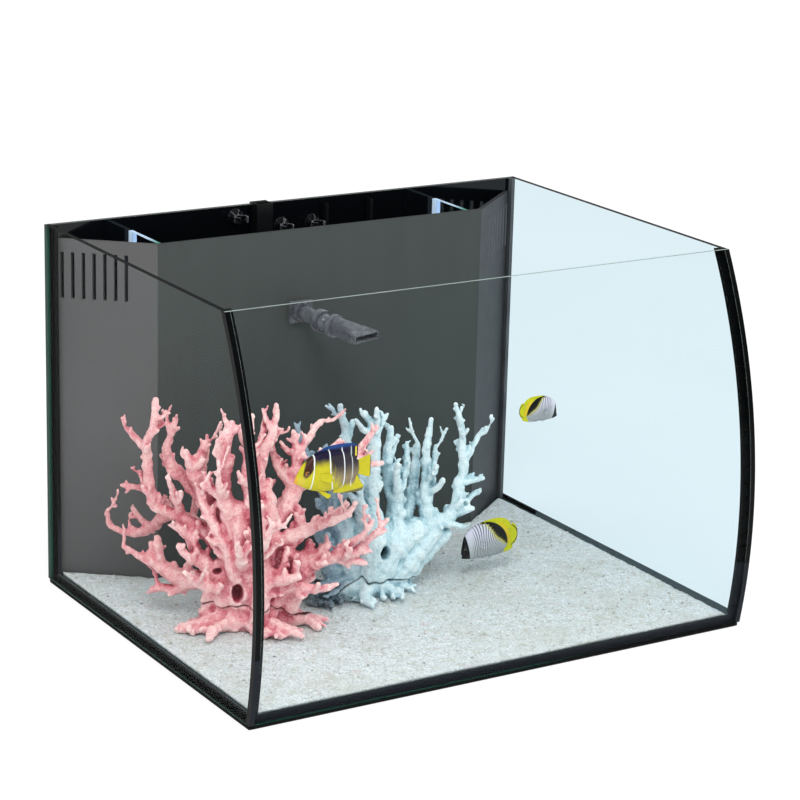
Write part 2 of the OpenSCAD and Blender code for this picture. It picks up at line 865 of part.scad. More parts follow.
// Deep-bodied fish facing -X, centred on the origin
module fish(length, height) {
    thick = length * 0.15;
    nose = -length / 2;
    tail_x = length * 0.3;
    fin_t = 1.6;
    hull() {
        translate([nose + 2.5, 0, -height * 0.06]) sphere(r = 2.5, $fn = 16);
        for (z = [-0.18, 0.18])
            translate([-length * 0.08, 0, height * z]) sphere(r = thick / 2, $fn = 20);
        for (z = [-0.14, 0.14])
            translate([length * 0.15, 0, height * z]) sphere(r = thick * 0.35, $fn = 20);
        translate([tail_x, 0, 0]) sphere(r = 2.4, $fn = 16);
    }
    rotate([90, 0, 0])
        translate([0, 0, -fin_t / 2])
            linear_extrude(height = fin_t)
                polygon([[nose * 0.55, 0], [nose * 0.3, height * 0.38], [0, height / 2],
                    [length * 0.2, height * 0.48], [length * 0.27, height * 0.3],
                    [tail_x, height * 0.08], [length * 0.36, height * 0.08],
                    [length / 2, height * 0.22], [length * 0.48, 0], [length / 2, -height * 0.22],
                    [length * 0.36, -height * 0.08], [tail_x, -height * 0.08],
                    [length * 0.27, -height * 0.3], [length * 0.2, -height * 0.48],
                    [0, -height / 2], [nose * 0.3, -height * 0.4]]);
}

module angelfish() {
    color([0.85, 0.75, 0.15]) translate([-143, -110, 208]) fish(89, 54);
}

module butterflyfish_large() {
    color([0.75, 0.76, 0.72]) translate([124, 0, 58]) fish(76, 44);
}

module butterflyfish_small() {
    color([0.75, 0.76, 0.72]) translate([148, -50, 218]) mirror([1, 0, 0]) fish(50, 27);
}

levelling_mat();
base_glass();
left_glass();
right_glass();
front_glass();
back_glass();
base_seam();
front_left_trim();
front_right_trim();
rear_left_trim();
rear_right_trim();
rear_divider();
left_weir_panel();
right_weir_panel();
left_baffle();
right_baffle();
cable_channel();
basket_rails();
cable_clip();
left_heater_clip();
right_heater_clip();
pump_housing();
pump_motor_core();
pump_volute();
pump_o_ring();
pump_intake_cap();
flow_dial();
impeller();
impeller_shaft();
front_bush();
rear_bush();
pump_feet();
pump_cable_gland();
return_hose();
hose_clamps();
hose_elbow();
bulkhead_nut();
bulkhead_gasket();
bulkhead_flange();
nozzle_neck();
nozzle_ball();
nozzle_fan();
media_basket();
basket_handle();
bio_block();
left_sponge();
right_sponge();
sand_bed();
pink_coral_base();
pink_coral();
blue_coral_base();
blue_coral();
angelfish();
butterflyfish_large();
butterflyfish_small();
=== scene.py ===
"""Looks for a bow-front reef aquarium with its rear filter chamber, coral ornaments and fish.

Everything is in metres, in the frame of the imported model: +Z up, -Y towards the bowed front.
Lengths in this file that end in _mm, and all coral points, are millimetres.
"""
import json
import math
import random

import bmesh
import bpy
import numpy as np
from mathutils import Matrix, Vector, noise


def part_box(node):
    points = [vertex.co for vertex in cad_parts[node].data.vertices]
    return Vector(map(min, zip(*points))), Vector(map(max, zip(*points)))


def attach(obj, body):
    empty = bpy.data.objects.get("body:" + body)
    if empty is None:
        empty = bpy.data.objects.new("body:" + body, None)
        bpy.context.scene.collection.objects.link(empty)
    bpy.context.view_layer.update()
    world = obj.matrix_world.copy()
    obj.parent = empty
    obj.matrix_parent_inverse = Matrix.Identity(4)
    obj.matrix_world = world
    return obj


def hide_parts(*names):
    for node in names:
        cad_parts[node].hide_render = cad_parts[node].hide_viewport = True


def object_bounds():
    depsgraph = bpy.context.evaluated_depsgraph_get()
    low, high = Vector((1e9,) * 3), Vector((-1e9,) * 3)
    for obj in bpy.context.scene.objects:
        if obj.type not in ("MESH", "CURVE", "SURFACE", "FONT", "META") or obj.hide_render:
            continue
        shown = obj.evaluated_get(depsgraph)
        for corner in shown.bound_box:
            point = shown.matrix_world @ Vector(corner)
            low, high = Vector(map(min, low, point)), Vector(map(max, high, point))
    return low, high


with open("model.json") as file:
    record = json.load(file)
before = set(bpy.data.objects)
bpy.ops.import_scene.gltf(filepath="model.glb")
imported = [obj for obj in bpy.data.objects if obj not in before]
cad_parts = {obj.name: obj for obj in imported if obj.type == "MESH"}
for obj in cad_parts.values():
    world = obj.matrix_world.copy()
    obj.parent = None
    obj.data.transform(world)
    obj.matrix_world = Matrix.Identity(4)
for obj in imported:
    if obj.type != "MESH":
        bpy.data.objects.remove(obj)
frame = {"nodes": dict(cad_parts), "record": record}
cad_low, cad_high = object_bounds()

MM = 0.001
NODES = frame["nodes"]
scene = bpy.context.scene
noise.seed_set(7)                   # noise_vector's offsets, which otherwise follow the clock


# ---------- materials: a small language for node trees ----------

def srgb(red, green, blue):
    """Linear colour from the 0 to 255 values a screen shows."""
    def linear(value):
        value /= 255
        return value / 12.92 if value <= 0.04045 else ((value + 0.055) / 1.055) ** 2.4
    return (linear(red), linear(green), linear(blue), 1.0)


def operator(operation, swapped=False):
    """A method that does one kind of sum on a Value."""
    def apply(self, other):
        first, second = (other, self) if swapped else (self, other)
        return self.paint.math(operation, first, second)
    return apply


class Value:
    """A number in a node tree; arithmetic on it adds Math nodes."""

    def __init__(self, paint, socket):
        self.paint = paint
        self.socket = socket

    __add__ = __radd__ = operator("ADD")
    __sub__ = operator("SUBTRACT")
    __rsub__ = operator("SUBTRACT", swapped=True)
    __mul__ = __rmul__ = operator("MULTIPLY")
    __truediv__ = operator("DIVIDE")

    def __abs__(self):
        return self.paint.math("ABSOLUTE", self, 0)


class Paint:
    """A material with one Principled shader, and the nodes that feed it."""

    def __init__(self, name, rough=0.5, **sockets):
        self.material = bpy.data.materials.new(name)
        self.material.use_nodes = True
        self.tree = self.material.node_tree
        self.shader = self.tree.nodes["Principled BSDF"]
        self.output = self.tree.nodes["Material Output"]
        self.coords = self.tree.nodes.new("ShaderNodeTexCoord")
        self.geometry = self.tree.nodes.new("ShaderNodeNewGeometry")
        self.place = self.coords.outputs["Object"]
        self.shader.inputs["Roughness"].default_value = rough
        for key, value in sockets.items():
            title = key.replace("_", " ").title().replace("Ior", "IOR")
            self.shader.inputs[title].default_value = value

    def put(self, socket, value):
        """Gives a socket a number, a colour, a Value or another node's output."""
        if isinstance(value, Value):
            value = value.socket
        if isinstance(value, bpy.types.NodeSocket):
            self.tree.links.new(value, socket)
        else:
            socket.default_value = value

    def node(self, kind, inputs, **settings):
        made = self.tree.nodes.new(kind)
        for key, value in settings.items():
            setattr(made, key, value)
        for key, value in inputs.items():
            self.put(made.inputs[key], value)
        return made

    def math(self, operation, first, second=0.0):
        made = self.node("ShaderNodeMath", {0: first, 1: second}, operation=operation)
        return Value(self, made.outputs[0])

    def most(self, *values):
        """The greatest of some numbers."""
        out = values[0]
        for value in values[1:]:
            out = self.math("MAXIMUM", out, value)
        return out

    def capped(self, value):
        """The number, or 1 where it is more."""
        return self.math("MINIMUM", value, 1.0)

    def distance(self, a, b):
        """Length of the vector (a, b)."""
        return self.math("SQRT", a * a + b * b)

    def step(self, value, low, high):
        """0 below low, 1 above high, smooth between; the other way round if high is less."""
        start, end = (0.0, 1.0) if low < high else (1.0, 0.0)
        made = self.node("ShaderNodeMapRange", {
            "Value": value, "From Min": min(low, high), "From Max": max(low, high),
            "To Min": start, "To Max": end}, interpolation_type="SMOOTHSTEP")
        return Value(self, made.outputs[0])

    def axes(self, socket=None):
        """The x, y and z of a vector, or of the place on the piece."""
        made = self.node("ShaderNodeSeparateXYZ", {0: socket or self.place})
        return [Value(self, out) for out in made.outputs]

    def facing(self):
        """The x, y and z of the way that the face looks."""
        return self.axes(self.geometry.outputs["True Normal"])

    def skim(self, blend):
        """Rises towards 1 where the surface is seen at a slant, for gloss and clear plastic."""
        return Value(self, self.node("ShaderNodeLayerWeight", {"Blend": blend}).outputs["Facing"])

    def attribute(self, name):
        made = self.node("ShaderNodeAttribute", {}, attribute_name=name)
        return Value(self, made.outputs["Fac"])

    def noise(self, scale, detail=3.0, rough=0.55, vector=None, warp=0.0):
        made = self.node("ShaderNodeTexNoise", {
            "Vector": vector or self.place, "Scale": scale, "Detail": detail,
            "Roughness": rough, "Distortion": warp})
        return Value(self, made.outputs[0])

    def cells(self, scale):
        """Distance to the middle of the nearest cell."""
        made = self.node("ShaderNodeTexVoronoi", {"Vector": self.place, "Scale": scale})
        return Value(self, made.outputs["Distance"])

    def mix(self, share, first, second):
        """Colour that goes from first at 0 to second at 1."""
        made = self.node("ShaderNodeMix", {0: share, 6: first, 7: second}, data_type="RGBA")
        return made.outputs[2]

    def coats(self, base, *layers):
        """Colour under a run of (share, colour) layers."""
        for share, colour in layers:
            base = self.mix(share, base, colour)
        return base

    def ramp(self, value, *stops):
        """Colour along a run of (place, colour) stops."""
        made = self.node("ShaderNodeValToRGB", {0: value})
        band = made.color_ramp.elements
        while len(band) < len(stops):
            band.new(0.5)
        for element, (place, colour) in zip(band, stops):
            element.position = place
            element.color = colour
        return made.outputs[0]

    def tones(self, value, colour, low, high, start=0.3):
        """One colour, darkened and lightened by two factors."""
        return self.ramp(value, (start, scale_colour(colour, low)),
                         (1 - start, scale_colour(colour, high)))

    def scaled(self, x, y, z):
        """The place on the piece, stretched along its axes."""
        made = self.node("ShaderNodeMapping", {"Vector": self.place, "Scale": (x, y, z)})
        return made.outputs[0]

    def bump(self, height, depth_mm, strength=1.0):
        """Relief of the given depth; several calls stack."""
        inputs = {"Height": height, "Strength": strength, "Distance": depth_mm * MM}
        below = self.shader.inputs["Normal"]
        if below.is_linked:
            inputs["Normal"] = below.links[0].from_socket
        made = self.node("ShaderNodeBump", inputs)
        self.tree.links.new(made.outputs[0], self.shader.inputs["Normal"])

    def colour(self, value):
        self.put(self.shader.inputs["Base Color"], value)

    def gloss(self, value):
        self.put(self.shader.inputs["Roughness"], value)

    def see_through(self, dense, passes, shine, rough, size):
        """Leaves the shader only where dense is 1, and elsewhere lets light through, less a
        share that is mirrored. Nothing is mirrored from inside the sheet."""
        clear = self.node("ShaderNodeBsdfTransparent", {"Color": passes})
        mirror = self.node("ShaderNodeBsdfGlossy", {
            "Color": (1, 1, 1, 1), "Roughness": rough + self.noise(size, 2) * rough})
        fresnel = Value(self, self.node("ShaderNodeFresnel", {"IOR": 1.45}).outputs[0])
        outside = 1 - Value(self, self.geometry.outputs["Backfacing"])
        face = self.node("ShaderNodeMixShader", {
            0: fresnel * outside * shine, 1: clear.outputs[0], 2: mirror.outputs[0]})
        whole = self.node("ShaderNodeMixShader", {
            0: dense, 1: face.outputs[0], 2: self.shader.outputs[0]})
        self.tree.links.new(whole.outputs[0], self.output.inputs["Surface"])


def scale_colour(colour, factor):
    return tuple(min(1.0, c * factor) for c in colour[:3]) + (1.0,)


def moulded(name, colour, rough, mottle=0.12, grain_mm=0.05, grain_scale=900, **sockets):
    """Moulded plastic or rubber: faint cloudy tone, uneven gloss and a fine surface grain."""
    paint = Paint(name, rough, **sockets)
    paint.colour(paint.tones(paint.noise(22, 4), colour, 1 - mottle, 1 + mottle))
    smear = paint.noise(60, 5, 0.65)
    paint.gloss(paint.step(smear, 0.25, 0.8) * 0.16 + (rough - 0.08))
    paint.bump(paint.noise(grain_scale, 2), grain_mm, 0.5)
    return paint


CLEAR_PASS = (0.985, 0.995, 0.993, 1.0)     # colour that one face of a clear pane lets through
BLUE_PASS = (0.835, 0.905, 0.935, 1.0)      # the right pane's, which is tinted
GREEN_LINE = srgb(16, 72, 58)
BLACK_BOND = srgb(7, 9, 10)
# painted reflection of the floor on the silicone, low down
FLOOR_REFLECTION_BOND = srgb(30, 34, 40)
FLOOR_REFLECTION_TOP_MM = 76                           # below this the front silicone has a painted slate-grey reflection of the floor
BOW_AXIS_Y_MM, BOW_AXIS_Z_MM = 366, 125     # the front pane is part of a tube about this line
BOW_RADIUS_MM = 605
HALF_WIDTH = cad_high.x
REAR_STRIP_Y = 0.2260                       # front of the strips in the rear corners
BEAD_TOP_MM = 13.5                          # of the silicone at the left and in front
RIGHT_BEAD_TOP_MM = 17                      # the right-hand bead is fuller
CORNER_BAND_MM = 12                         # glued width at the front pane's inner corners
EDGE_BAND_MM = 6                            # and over its upright edges


def below(paint, z, height_mm, soft_mm=0.2):
    """1 below a height, with a soft edge."""
    return paint.step(z, (height_mm + soft_mm) * MM, (height_mm - soft_mm) * MM)


def beyond(paint, x, inset_mm, soft_mm):
    """1 nearer to either side of the tank than inset_mm, with a soft edge."""
    return paint.step(abs(x), HALF_WIDTH - (inset_mm + soft_mm) * MM,
                      HALF_WIDTH - (inset_mm - soft_mm) * MM)


def bow_radius(paint):
    """Distance in millimetres from the axis of the bow."""
    _, y, z = paint.axes()
    return paint.distance(y / MM - BOW_AXIS_Y_MM, z / MM - BOW_AXIS_Z_MM)


def side_bond(paint):
    """Where silicone or the back pane is glued to a side pane's inner face, and its colour."""
    x, y, z = paint.axes()
    inner_face = paint.step(abs(x), HALF_WIDTH - 2.5 * MM, HALF_WIDTH - 3.5 * MM)
    right = below(paint, z, RIGHT_BEAD_TOP_MM) * paint.step(x, -0.1, 0.1)
    ahead = paint.step(bow_radius(paint), BOW_RADIUS_MM - 10.2, BOW_RADIUS_MM - 9.8)
    behind = paint.step(y, REAR_STRIP_Y - 0.4 * MM, REAR_STRIP_Y)
    glued = paint.most(below(paint, z, BEAD_TOP_MM), right, ahead, behind)
    return glued * inner_face, BLACK_BOND


def front_bond(paint):
    """Where silicone is glued to the front pane, and its colour: to the inner face, and right
    round its upright edges. Low down its colour is slate grey, a painted reflection of the floor."""
    x, _, z = paint.axes()
    inner_face = paint.step(bow_radius(paint), BOW_RADIUS_MM - 3.0, BOW_RADIUS_MM - 4.0)
    corner = beyond(paint, x, CORNER_BAND_MM, 0.1)
    # painted reflection: slate grey below the line, black above
    tone = paint.mix(below(paint, z, FLOOR_REFLECTION_TOP_MM, 1), BLACK_BOND, FLOOR_REFLECTION_BOND)
    glued = paint.most(below(paint, z, BEAD_TOP_MM), corner) * inner_face
    return paint.most(glued, beyond(paint, x, EDGE_BAND_MM, 0.5)), tone


def pane(name, axis, passes, edge, bond):
    """Polished sheet: see-through on its two faces, dense at its cut edges and where it is glued.
    axis is the one that the faces look along; a green line runs just above its foot."""
    paint = Paint(name, 0.2, specular_ior_level=0.08)
    flat = paint.step(abs(paint.facing()[axis]), 0.45, 0.55)
    rim = 1 - flat
    x, y, z = paint.axes()
    line = below(paint, z, 6.3) * flat
    if axis == 1:                           # of its top, only the front arris is dense: a pale glass edge, its lightness a painted highlight
        rim = rim * paint.step(bow_radius(paint), BOW_RADIUS_MM - 2.8, BOW_RADIUS_MM - 2.2)
        line = line * paint.step(x, 0.16, 0.02)
    rear_arris = paint.step(y, cad_high.y - 1.0 * MM, cad_high.y - 0.6 * MM)
    arris = paint.most(line, rear_arris) * (0.55 + paint.noise(35, 3) * 0.5)
    glued, glue = bond(paint)
    cut = paint.mix(paint.noise(80, 3), scale_colour(edge, 0.75), scale_colour(edge, 1.3))
    cut = paint.mix(paint.step(z, 0.10, 0.05), cut, srgb(6, 12, 11))
    colour = paint.mix(paint.capped(arris), cut, GREEN_LINE)
    paint.colour(paint.mix(glued * (1 - rim), colour, glue))
    paint.bump(paint.noise(500, 2), 0.02, 0.3)
    paint.see_through(paint.most(rim * 0.96, arris, glued), passes, 0.10, 0.02, 9)
    return paint


def clear_baffle_paint(low, high):
    """Clear acrylic sheet whose cut edges glow with painted light, white-blue at the rear."""
    paint = Paint("clear_acrylic_sheet", 0.08, emission_color=srgb(186, 212, 238))
    y = paint.axes()[1]
    rim = paint.step(abs(paint.facing()[0]), 0.55, 0.45)
    rear = paint.step(y, high.y - 10 * MM, high.y - 9 * MM)
    ahead = paint.step(y, low.y + 30 * MM, low.y)
    paint.colour(paint.mix(ahead, srgb(196, 218, 240), srgb(70, 150, 130)))
    # painted glow: emission on the rear and side cut edges
    painted_edge_glow = paint.most(rear, rim * 0.5) * (1 - ahead) * (0.30 + paint.noise(70, 3) * 0.35)
    paint.put(paint.shader.inputs["Emission Strength"], painted_edge_glow)
    paint.bump(paint.noise(300, 2), 0.03, 0.3)
    paint.see_through(paint.most(rim * 0.9, rear * 0.92), (0.93, 0.96, 0.98, 1), 0.3, 0.03, 12)
    return paint


def black_glass_paint():
    """Black back pane with a paler ground edge on top."""
    paint = Paint("black_glass_pane", 0.07, specular_ior_level=0.3)
    top = paint.step(paint.facing()[2], 0.5, 0.8)
    paint.colour(paint.mix(top, srgb(5, 7, 10), srgb(96, 100, 99)))
    paint.gloss(0.05 + paint.noise(14, 4) * 0.06)
    paint.bump(paint.noise(40, 2), 0.02, 0.2)
    return paint


def acrylic_paint(name, colour, sawn=None):
    """Satin dark acrylic, with faint vertical wipe marks. sawn is the direction (x, y) across
    the slots, whose sawn walls are paler."""
    paint = Paint(name, 0.46, specular_ior_level=0.12)
    streak = paint.noise(14, 5, 0.6, paint.scaled(3.0, 3.0, 0.35))
    tone = streak * 0.5 + paint.noise(6, 3) * 0.5
    sheet = paint.tones(tone, colour, 0.93, 1.07)
    # painted shade: the sheet is darker towards its foot
    foot = paint.step(paint.axes()[2], 0.20, 0.02)
    sheet = paint.mix(foot * 0.3, sheet, scale_colour(colour, 0.45))
    if sawn:
        nx, ny, _ = paint.facing()
        wall = paint.step(abs(nx * sawn[0] + ny * sawn[1]), 0.85, 0.97)
        sheet = paint.mix(wall, sheet, srgb(108, 112, 120))
    paint.colour(sheet)
    paint.gloss(0.36 + paint.noise(50, 4) * 0.14)
    paint.bump(paint.noise(700, 2), 0.03, 0.35)
    return paint


def silicone_paint(name="black_silicone", high=(7, 9, 10), low=(30, 34, 40), turn=-0.6):
    """Tooled silicone, black above and, near the base, slate grey as a painted reflection of the floor,
    with a few tool marks.
    Faces whose normal's X is below turn stay black."""
    paint = Paint(name, 0.34, specular_ior_level=0.08)
    cloud = paint.noise(30, 4)
    upper = paint.tones(cloud, srgb(*high), 0.8, 1.25)
    reflection_tone = paint.tones(cloud, srgb(*low), 0.85, 1.15)
    # painted reflection of the floor: slate grey low down, on faces that turn far enough
    floor_reflection = (below(paint, paint.axes()[2], FLOOR_REFLECTION_TOP_MM, 1)
             * paint.step(paint.facing()[0], turn - 0.1, turn + 0.1))
    paint.colour(paint.mix(floor_reflection, upper, reflection_tone))
    paint.gloss(0.30 + paint.noise(45, 4) * 0.16)
    paint.bump(paint.noise(90, 3, 0.5), 0.08, 0.4)
    return paint


def foam_paint():
    """Closed-cell foam sheet: fine cells, matte."""
    paint = Paint("closed_cell_foam", 0.85, specular_ior_level=0.2)
    cell = paint.cells(1100)
    paint.colour(paint.mix(paint.step(cell, 0.15, 0.6), srgb(17, 18, 20), srgb(8, 9, 10)))
    paint.gloss(0.78 + paint.noise(80, 3) * 0.2)
    paint.bump(cell, 0.25, 0.8)
    return paint


def sponge_paint():
    """Open-cell filter foam, nearly black in its pores as painted shade."""
    paint = Paint("open_cell_sponge", 0.9)
    fine = paint.cells(520)
    pits = paint.noise(260, 4, 0.7)
    tone = paint.step(fine, 0.1, 0.7) * 0.6 + pits * 0.5
    # painted shade: darker where the cells and pits sink in
    paint.colour(paint.ramp(tone, (0.25, srgb(60, 66, 70)), (0.75, srgb(14, 16, 18))))
    paint.gloss(0.82 + paint.noise(100, 2) * 0.15)
    paint.bump(fine + pits, 0.9, 0.9)
    return paint


def ceramic_paint():
    """Pale porous ceramic with pinholes, dark inside as painted shade."""
    paint = Paint("porous_ceramic", 0.85)
    pores = paint.cells(420)
    hole = paint.step(pores, 0.32, 0.12)
    base = paint.mix(paint.noise(60, 5, 0.7), srgb(226, 219, 203), srgb(196, 186, 168))
    # painted shade inside the pinholes
    paint.colour(paint.mix(hole, base, srgb(96, 86, 72)))
    paint.gloss(0.75 + paint.noise(90, 3) * 0.22)
    paint.bump(pores, 0.8, 0.8)
    return paint


def hose_paint():
    """Milky vinyl hose with fine draw lines."""
    paint = Paint("vinyl_hose", 0.25, transmission_weight=0.25, ior=1.4)
    lines = paint.noise(160, 2, 0.5, paint.scaled(4, 4, 0.15))
    paint.colour(paint.ramp(lines, (0.3, srgb(176, 186, 188)), (0.7, srgb(214, 222, 224))))
    paint.gloss(0.18 + paint.noise(60, 3) * 0.18)
    paint.bump(lines, 0.15, 0.5)
    return paint


def smoke_paint(name="smoke_plastic_moulding", lift=1.0):
    """Translucent smoke-grey moulding, paler towards the light at its rims."""
    paint = Paint(name, 0.2, specular_ior_level=0.55)
    skim = paint.skim(0.3)
    tone = paint.noise(70, 4, 0.6, warp=0.8) * 0.5 + skim * 0.5
    paint.colour(paint.ramp(tone, (0.20, scale_colour(srgb(66, 68, 76), lift)),
                            (0.42, scale_colour(srgb(96, 99, 106), lift)),
                            (0.75, scale_colour(srgb(176, 182, 184), lift))))
    paint.put(paint.shader.inputs["Alpha"], 0.72 + skim * 0.28)
    paint.gloss(0.14 + paint.noise(80, 3) * 0.14)
    paint.bump(paint.noise(600, 2), 0.05, 0.4)
    return paint


def clear_clip_paint():
    """Clear moulded clip: mostly grey glints against the black chamber."""
    paint = Paint("clear_clip_plastic", 0.12, specular_ior_level=0.7)
    skim = paint.skim(0.4)
    tone = skim * 0.7 + paint.noise(220, 3) * 0.4
    paint.colour(paint.ramp(tone, (0.42, srgb(11, 12, 14)), (0.90, srgb(150, 153, 162))))
    paint.put(paint.shader.inputs["Alpha"], 0.62 + skim * 0.38)
    paint.gloss(0.05 + paint.noise(90, 2) * 0.10)
    return paint


def steel_paint():
    paint = Paint("spring_steel", 0.28, metallic=1.0)
    brushed = paint.noise(90, 5, 0.7, paint.scaled(1, 1, 14))
    paint.colour(paint.ramp(brushed, (0.3, srgb(150, 152, 156)), (0.7, srgb(205, 207, 211))))
    paint.gloss(0.2 + brushed * 0.2)
    paint.bump(brushed, 0.03, 0.4)
    return paint


def motor_core_paint():
    """Stacked iron plates in brown epoxy."""
    paint = Paint("laminated_core", 0.5, metallic=0.3)
    plates = paint.math("SINE", paint.axes()[0] * 9000)
    paint.colour(paint.mix(paint.step(plates, -0.4, 0.6), srgb(86, 60, 44), srgb(140, 118, 100)))
    paint.gloss(0.4 + paint.noise(70, 3) * 0.25)
    paint.bump(plates, 0.1, 0.6)
    return paint


def sand_paint():
    """White coral sand: pale grains, a few grey and rosy ones, and soft drifts of tone."""
    paint = Paint("coral_sand", 0.9, specular_ior_level=0.15)
    drift = paint.step(paint.noise(14, 4, 0.6), 0.42, 0.66)
    body = paint.ramp(paint.noise(430, 4, 0.72), (0.30, srgb(143, 150, 150)), (0.43, srgb(196, 204, 206)),
                      (0.56, srgb(216, 224, 228)), (0.70, srgb(242, 248, 251)))
    blot = paint.step(paint.noise(75, 4, 0.65, warp=0.6), 0.50, 0.64)
    patches = paint.step(paint.noise(24, 3, 0.6), 0.45, 0.60)
    flake = paint.step(paint.noise(150, 4, 0.7), 0.55, 0.66)
    pale = paint.step(paint.noise(170, 4, 0.7, warp=0.5), 0.56, 0.66)
    dark = paint.step(paint.noise(300, 3, 0.65), 0.59, 0.68)
    rosy = paint.step(paint.noise(90, 3, 0.6), 0.60, 0.72)
    paint.colour(paint.coats(
        body, (drift * 0.4, srgb(186, 189, 180)), (blot * 0.5, srgb(180, 185, 172)),
        (flake * (0.25 + patches * 0.4), srgb(158, 160, 154)), (pale * 0.5, srgb(240, 244, 246)),
        (rosy * 0.4, srgb(206, 180, 182)), (dark * (0.15 + patches * 0.5), srgb(128, 128, 120))))
    paint.gloss(0.82 + paint.noise(300, 2) * 0.16)
    paint.bump(paint.cells(620), 0.5, 0.8)
    paint.bump(paint.noise(160, 4, 0.7), 0.9, 0.6)
    return paint


def grain_paint():
    """Loose grains, each with its own tone."""
    paint = Paint("loose_grains", 0.75, specular_ior_level=0.2)
    tone = Value(paint, paint.geometry.outputs["Random Per Island"])
    body = paint.ramp(tone, (0.0, srgb(138, 136, 130)), (0.07, srgb(170, 169, 164)),
                      (0.16, srgb(206, 194, 192)), (0.30, srgb(202, 208, 206)),
                      (1.0, srgb(226, 231, 230)))
    paint.colour(paint.mix(paint.noise(1500, 2) * 0.3, body, srgb(168, 168, 164)))
    paint.gloss(0.6 + paint.noise(900, 2) * 0.3)
    paint.bump(paint.noise(1800, 2), 0.2, 0.6)
    return paint


def resin_paint(name, deep, low, body, pale, painted_side_shade=None):
    """Painted cast resin: deep colour in the hollows, where the AO node finds shade and in small pores,
    all painted shade, and pale on the high spots.
    The mesh carries hollow (0 proud, 1 sunk) and groove (1 in a cut line, and the painted shade inside
    deep holes).
    The last argument is painted shade over one side: colour, axis, places along it where it starts and is
    full, share."""
    paint = Paint(name, 0.6, specular_ior_level=0.2)
    hollow = paint.attribute("hollow")
    shade = Value(paint, paint.node("ShaderNodeAmbientOcclusion", {"Distance": 22 * MM},
                                    samples=6, only_local=True).outputs["AO"])
    patch = paint.noise(60, 4, 0.65)
    pore = paint.cells(520)
    # painted shade: the hollows, the AO node's shade and the pores push the colour towards deep
    tone = (hollow * 0.62 + (1 - shade) * 0.85 + (patch - 0.5) * 0.7
            + paint.step(pore, 0.34, 0.12) * 0.16 - 0.12)
    colour = paint.ramp(tone, (0.04, pale), (0.30, body), (0.56, low), (0.92, deep))
    # painted shade over one side of the coral
    if painted_side_shade:
        shade_tint, axis, start, end, strength = painted_side_shade
        along = paint.axes()[axis] + (patch - 0.5) * 0.05
        reach = paint.step(along, start * MM, end * MM) * (0.6 + hollow * 0.8) * strength
        colour = paint.mix(paint.capped(reach), colour, shade_tint)
    grit = paint.noise(520, 3, 0.7)
    fleck = paint.step(grit, 0.56, 0.66) * 0.7 * (1 - hollow * 0.6)
    # groove: a real dark cut line, and the painted shade inside deep holes
    paint.colour(paint.coats(
        colour, (paint.step(grit, 0.45, 0.36) * 0.5, low), (fleck, scale_colour(pale, 1.15)),
        (paint.attribute("groove"), scale_colour(deep, 0.16))))
    paint.gloss(0.5 + paint.noise(120, 3) * 0.25)
    paint.bump(paint.noise(330, 4, 0.65), 0.8, 0.7)
    paint.bump(pore, 0.5, 0.7)
    return paint


# ---------- meshes ----------

class Shape:
    """Vertices and faces gathered for one mesh, in metres."""

    def __init__(self):
        self.verts = []
        self.faces = []

    def add(self, verts, faces):
        base = len(self.verts)
        self.verts.extend(verts)
        self.faces.extend(tuple(base + i for i in face) for face in faces)

    def loft(self, rings, closed_ends=True):
        """Joins rings of equal length into a skin, with a fan over each end."""
        count = len(rings[0])
        verts = [p for ring in rings for p in ring]
        faces = []
        for row in range(len(rings) - 1):
            for i in range(count):
                j = (i + 1) % count
                faces.append((row * count + i, row * count + j,
                              (row + 1) * count + j, (row + 1) * count + i))
        if closed_ends:
            for row, turn in ((0, -1), (len(rings) - 1, 1)):
                middle = sum((Vector(p) for p in rings[row]), Vector()) / count
                verts.append(tuple(middle))
                top = len(verts) - 1
                for i in range(count):
                    j = (i + 1) % count
                    pair = (row * count + i, row * count + j)
                    faces.append((pair + (top,))[::turn])
        self.add(verts, faces)

    def piece(self, name, paint, smooth=True):
        mesh = bpy.data.meshes.new(name)
        mesh.from_pydata([tuple(v) for v in self.verts], [], self.faces)
        mesh.validate()
        mesh.polygons.foreach_set("use_smooth", [smooth] * len(mesh.polygons))
        if paint:
            mesh.materials.append(paint.material)
        made = bpy.data.objects.new(name, mesh)
        scene.collection.objects.link(made)
        return made


def finish_piece(piece, body, slot, *replaced):
    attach(piece, body)
    if replaced:
        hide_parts(*replaced)
    return piece


def gathered(items, field, width, kind):
    """One field of every item, as a table of numbers."""
    out = np.empty(len(items) * width, kind)
    items.foreach_get(field, out)
    return out.reshape(-1, width)


def coords(mesh):
    return gathered(mesh.vertices, "co", 3, np.float32).astype(float)


def set_coords(mesh, places):
    mesh.vertices.foreach_set("co", places.astype(np.float32).ravel())
    mesh.update()


def normals(mesh):
    return gathered(mesh.vertices, "normal", 3, np.float32).astype(float)


def edge_ends(mesh):
    return gathered(mesh.edges, "vertices", 2, np.int32)


def eased(share):
    """A share from 0 to 1, cut off at both and eased in and out."""
    share = np.clip(share, 0, 1)
    return share * share * (3 - 2 * share)


def grid_rim(columns, rows):
    """The points round a grid that is numbered column by column, each once."""
    wide = rows + 1
    return ([i * wide for i in range(columns + 1)]
            + [columns * wide + j for j in range(1, wide)]
            + [i * wide + rows for i in range(columns - 1, -1, -1)]
            + [j for j in range(rows - 1, 0, -1)])


def grid_faces(columns, rows):
    wide = rows + 1
    return [(i * wide + j, (i + 1) * wide + j, (i + 1) * wide + j + 1, i * wide + j + 1)
            for i in range(columns) for j in range(rows)]


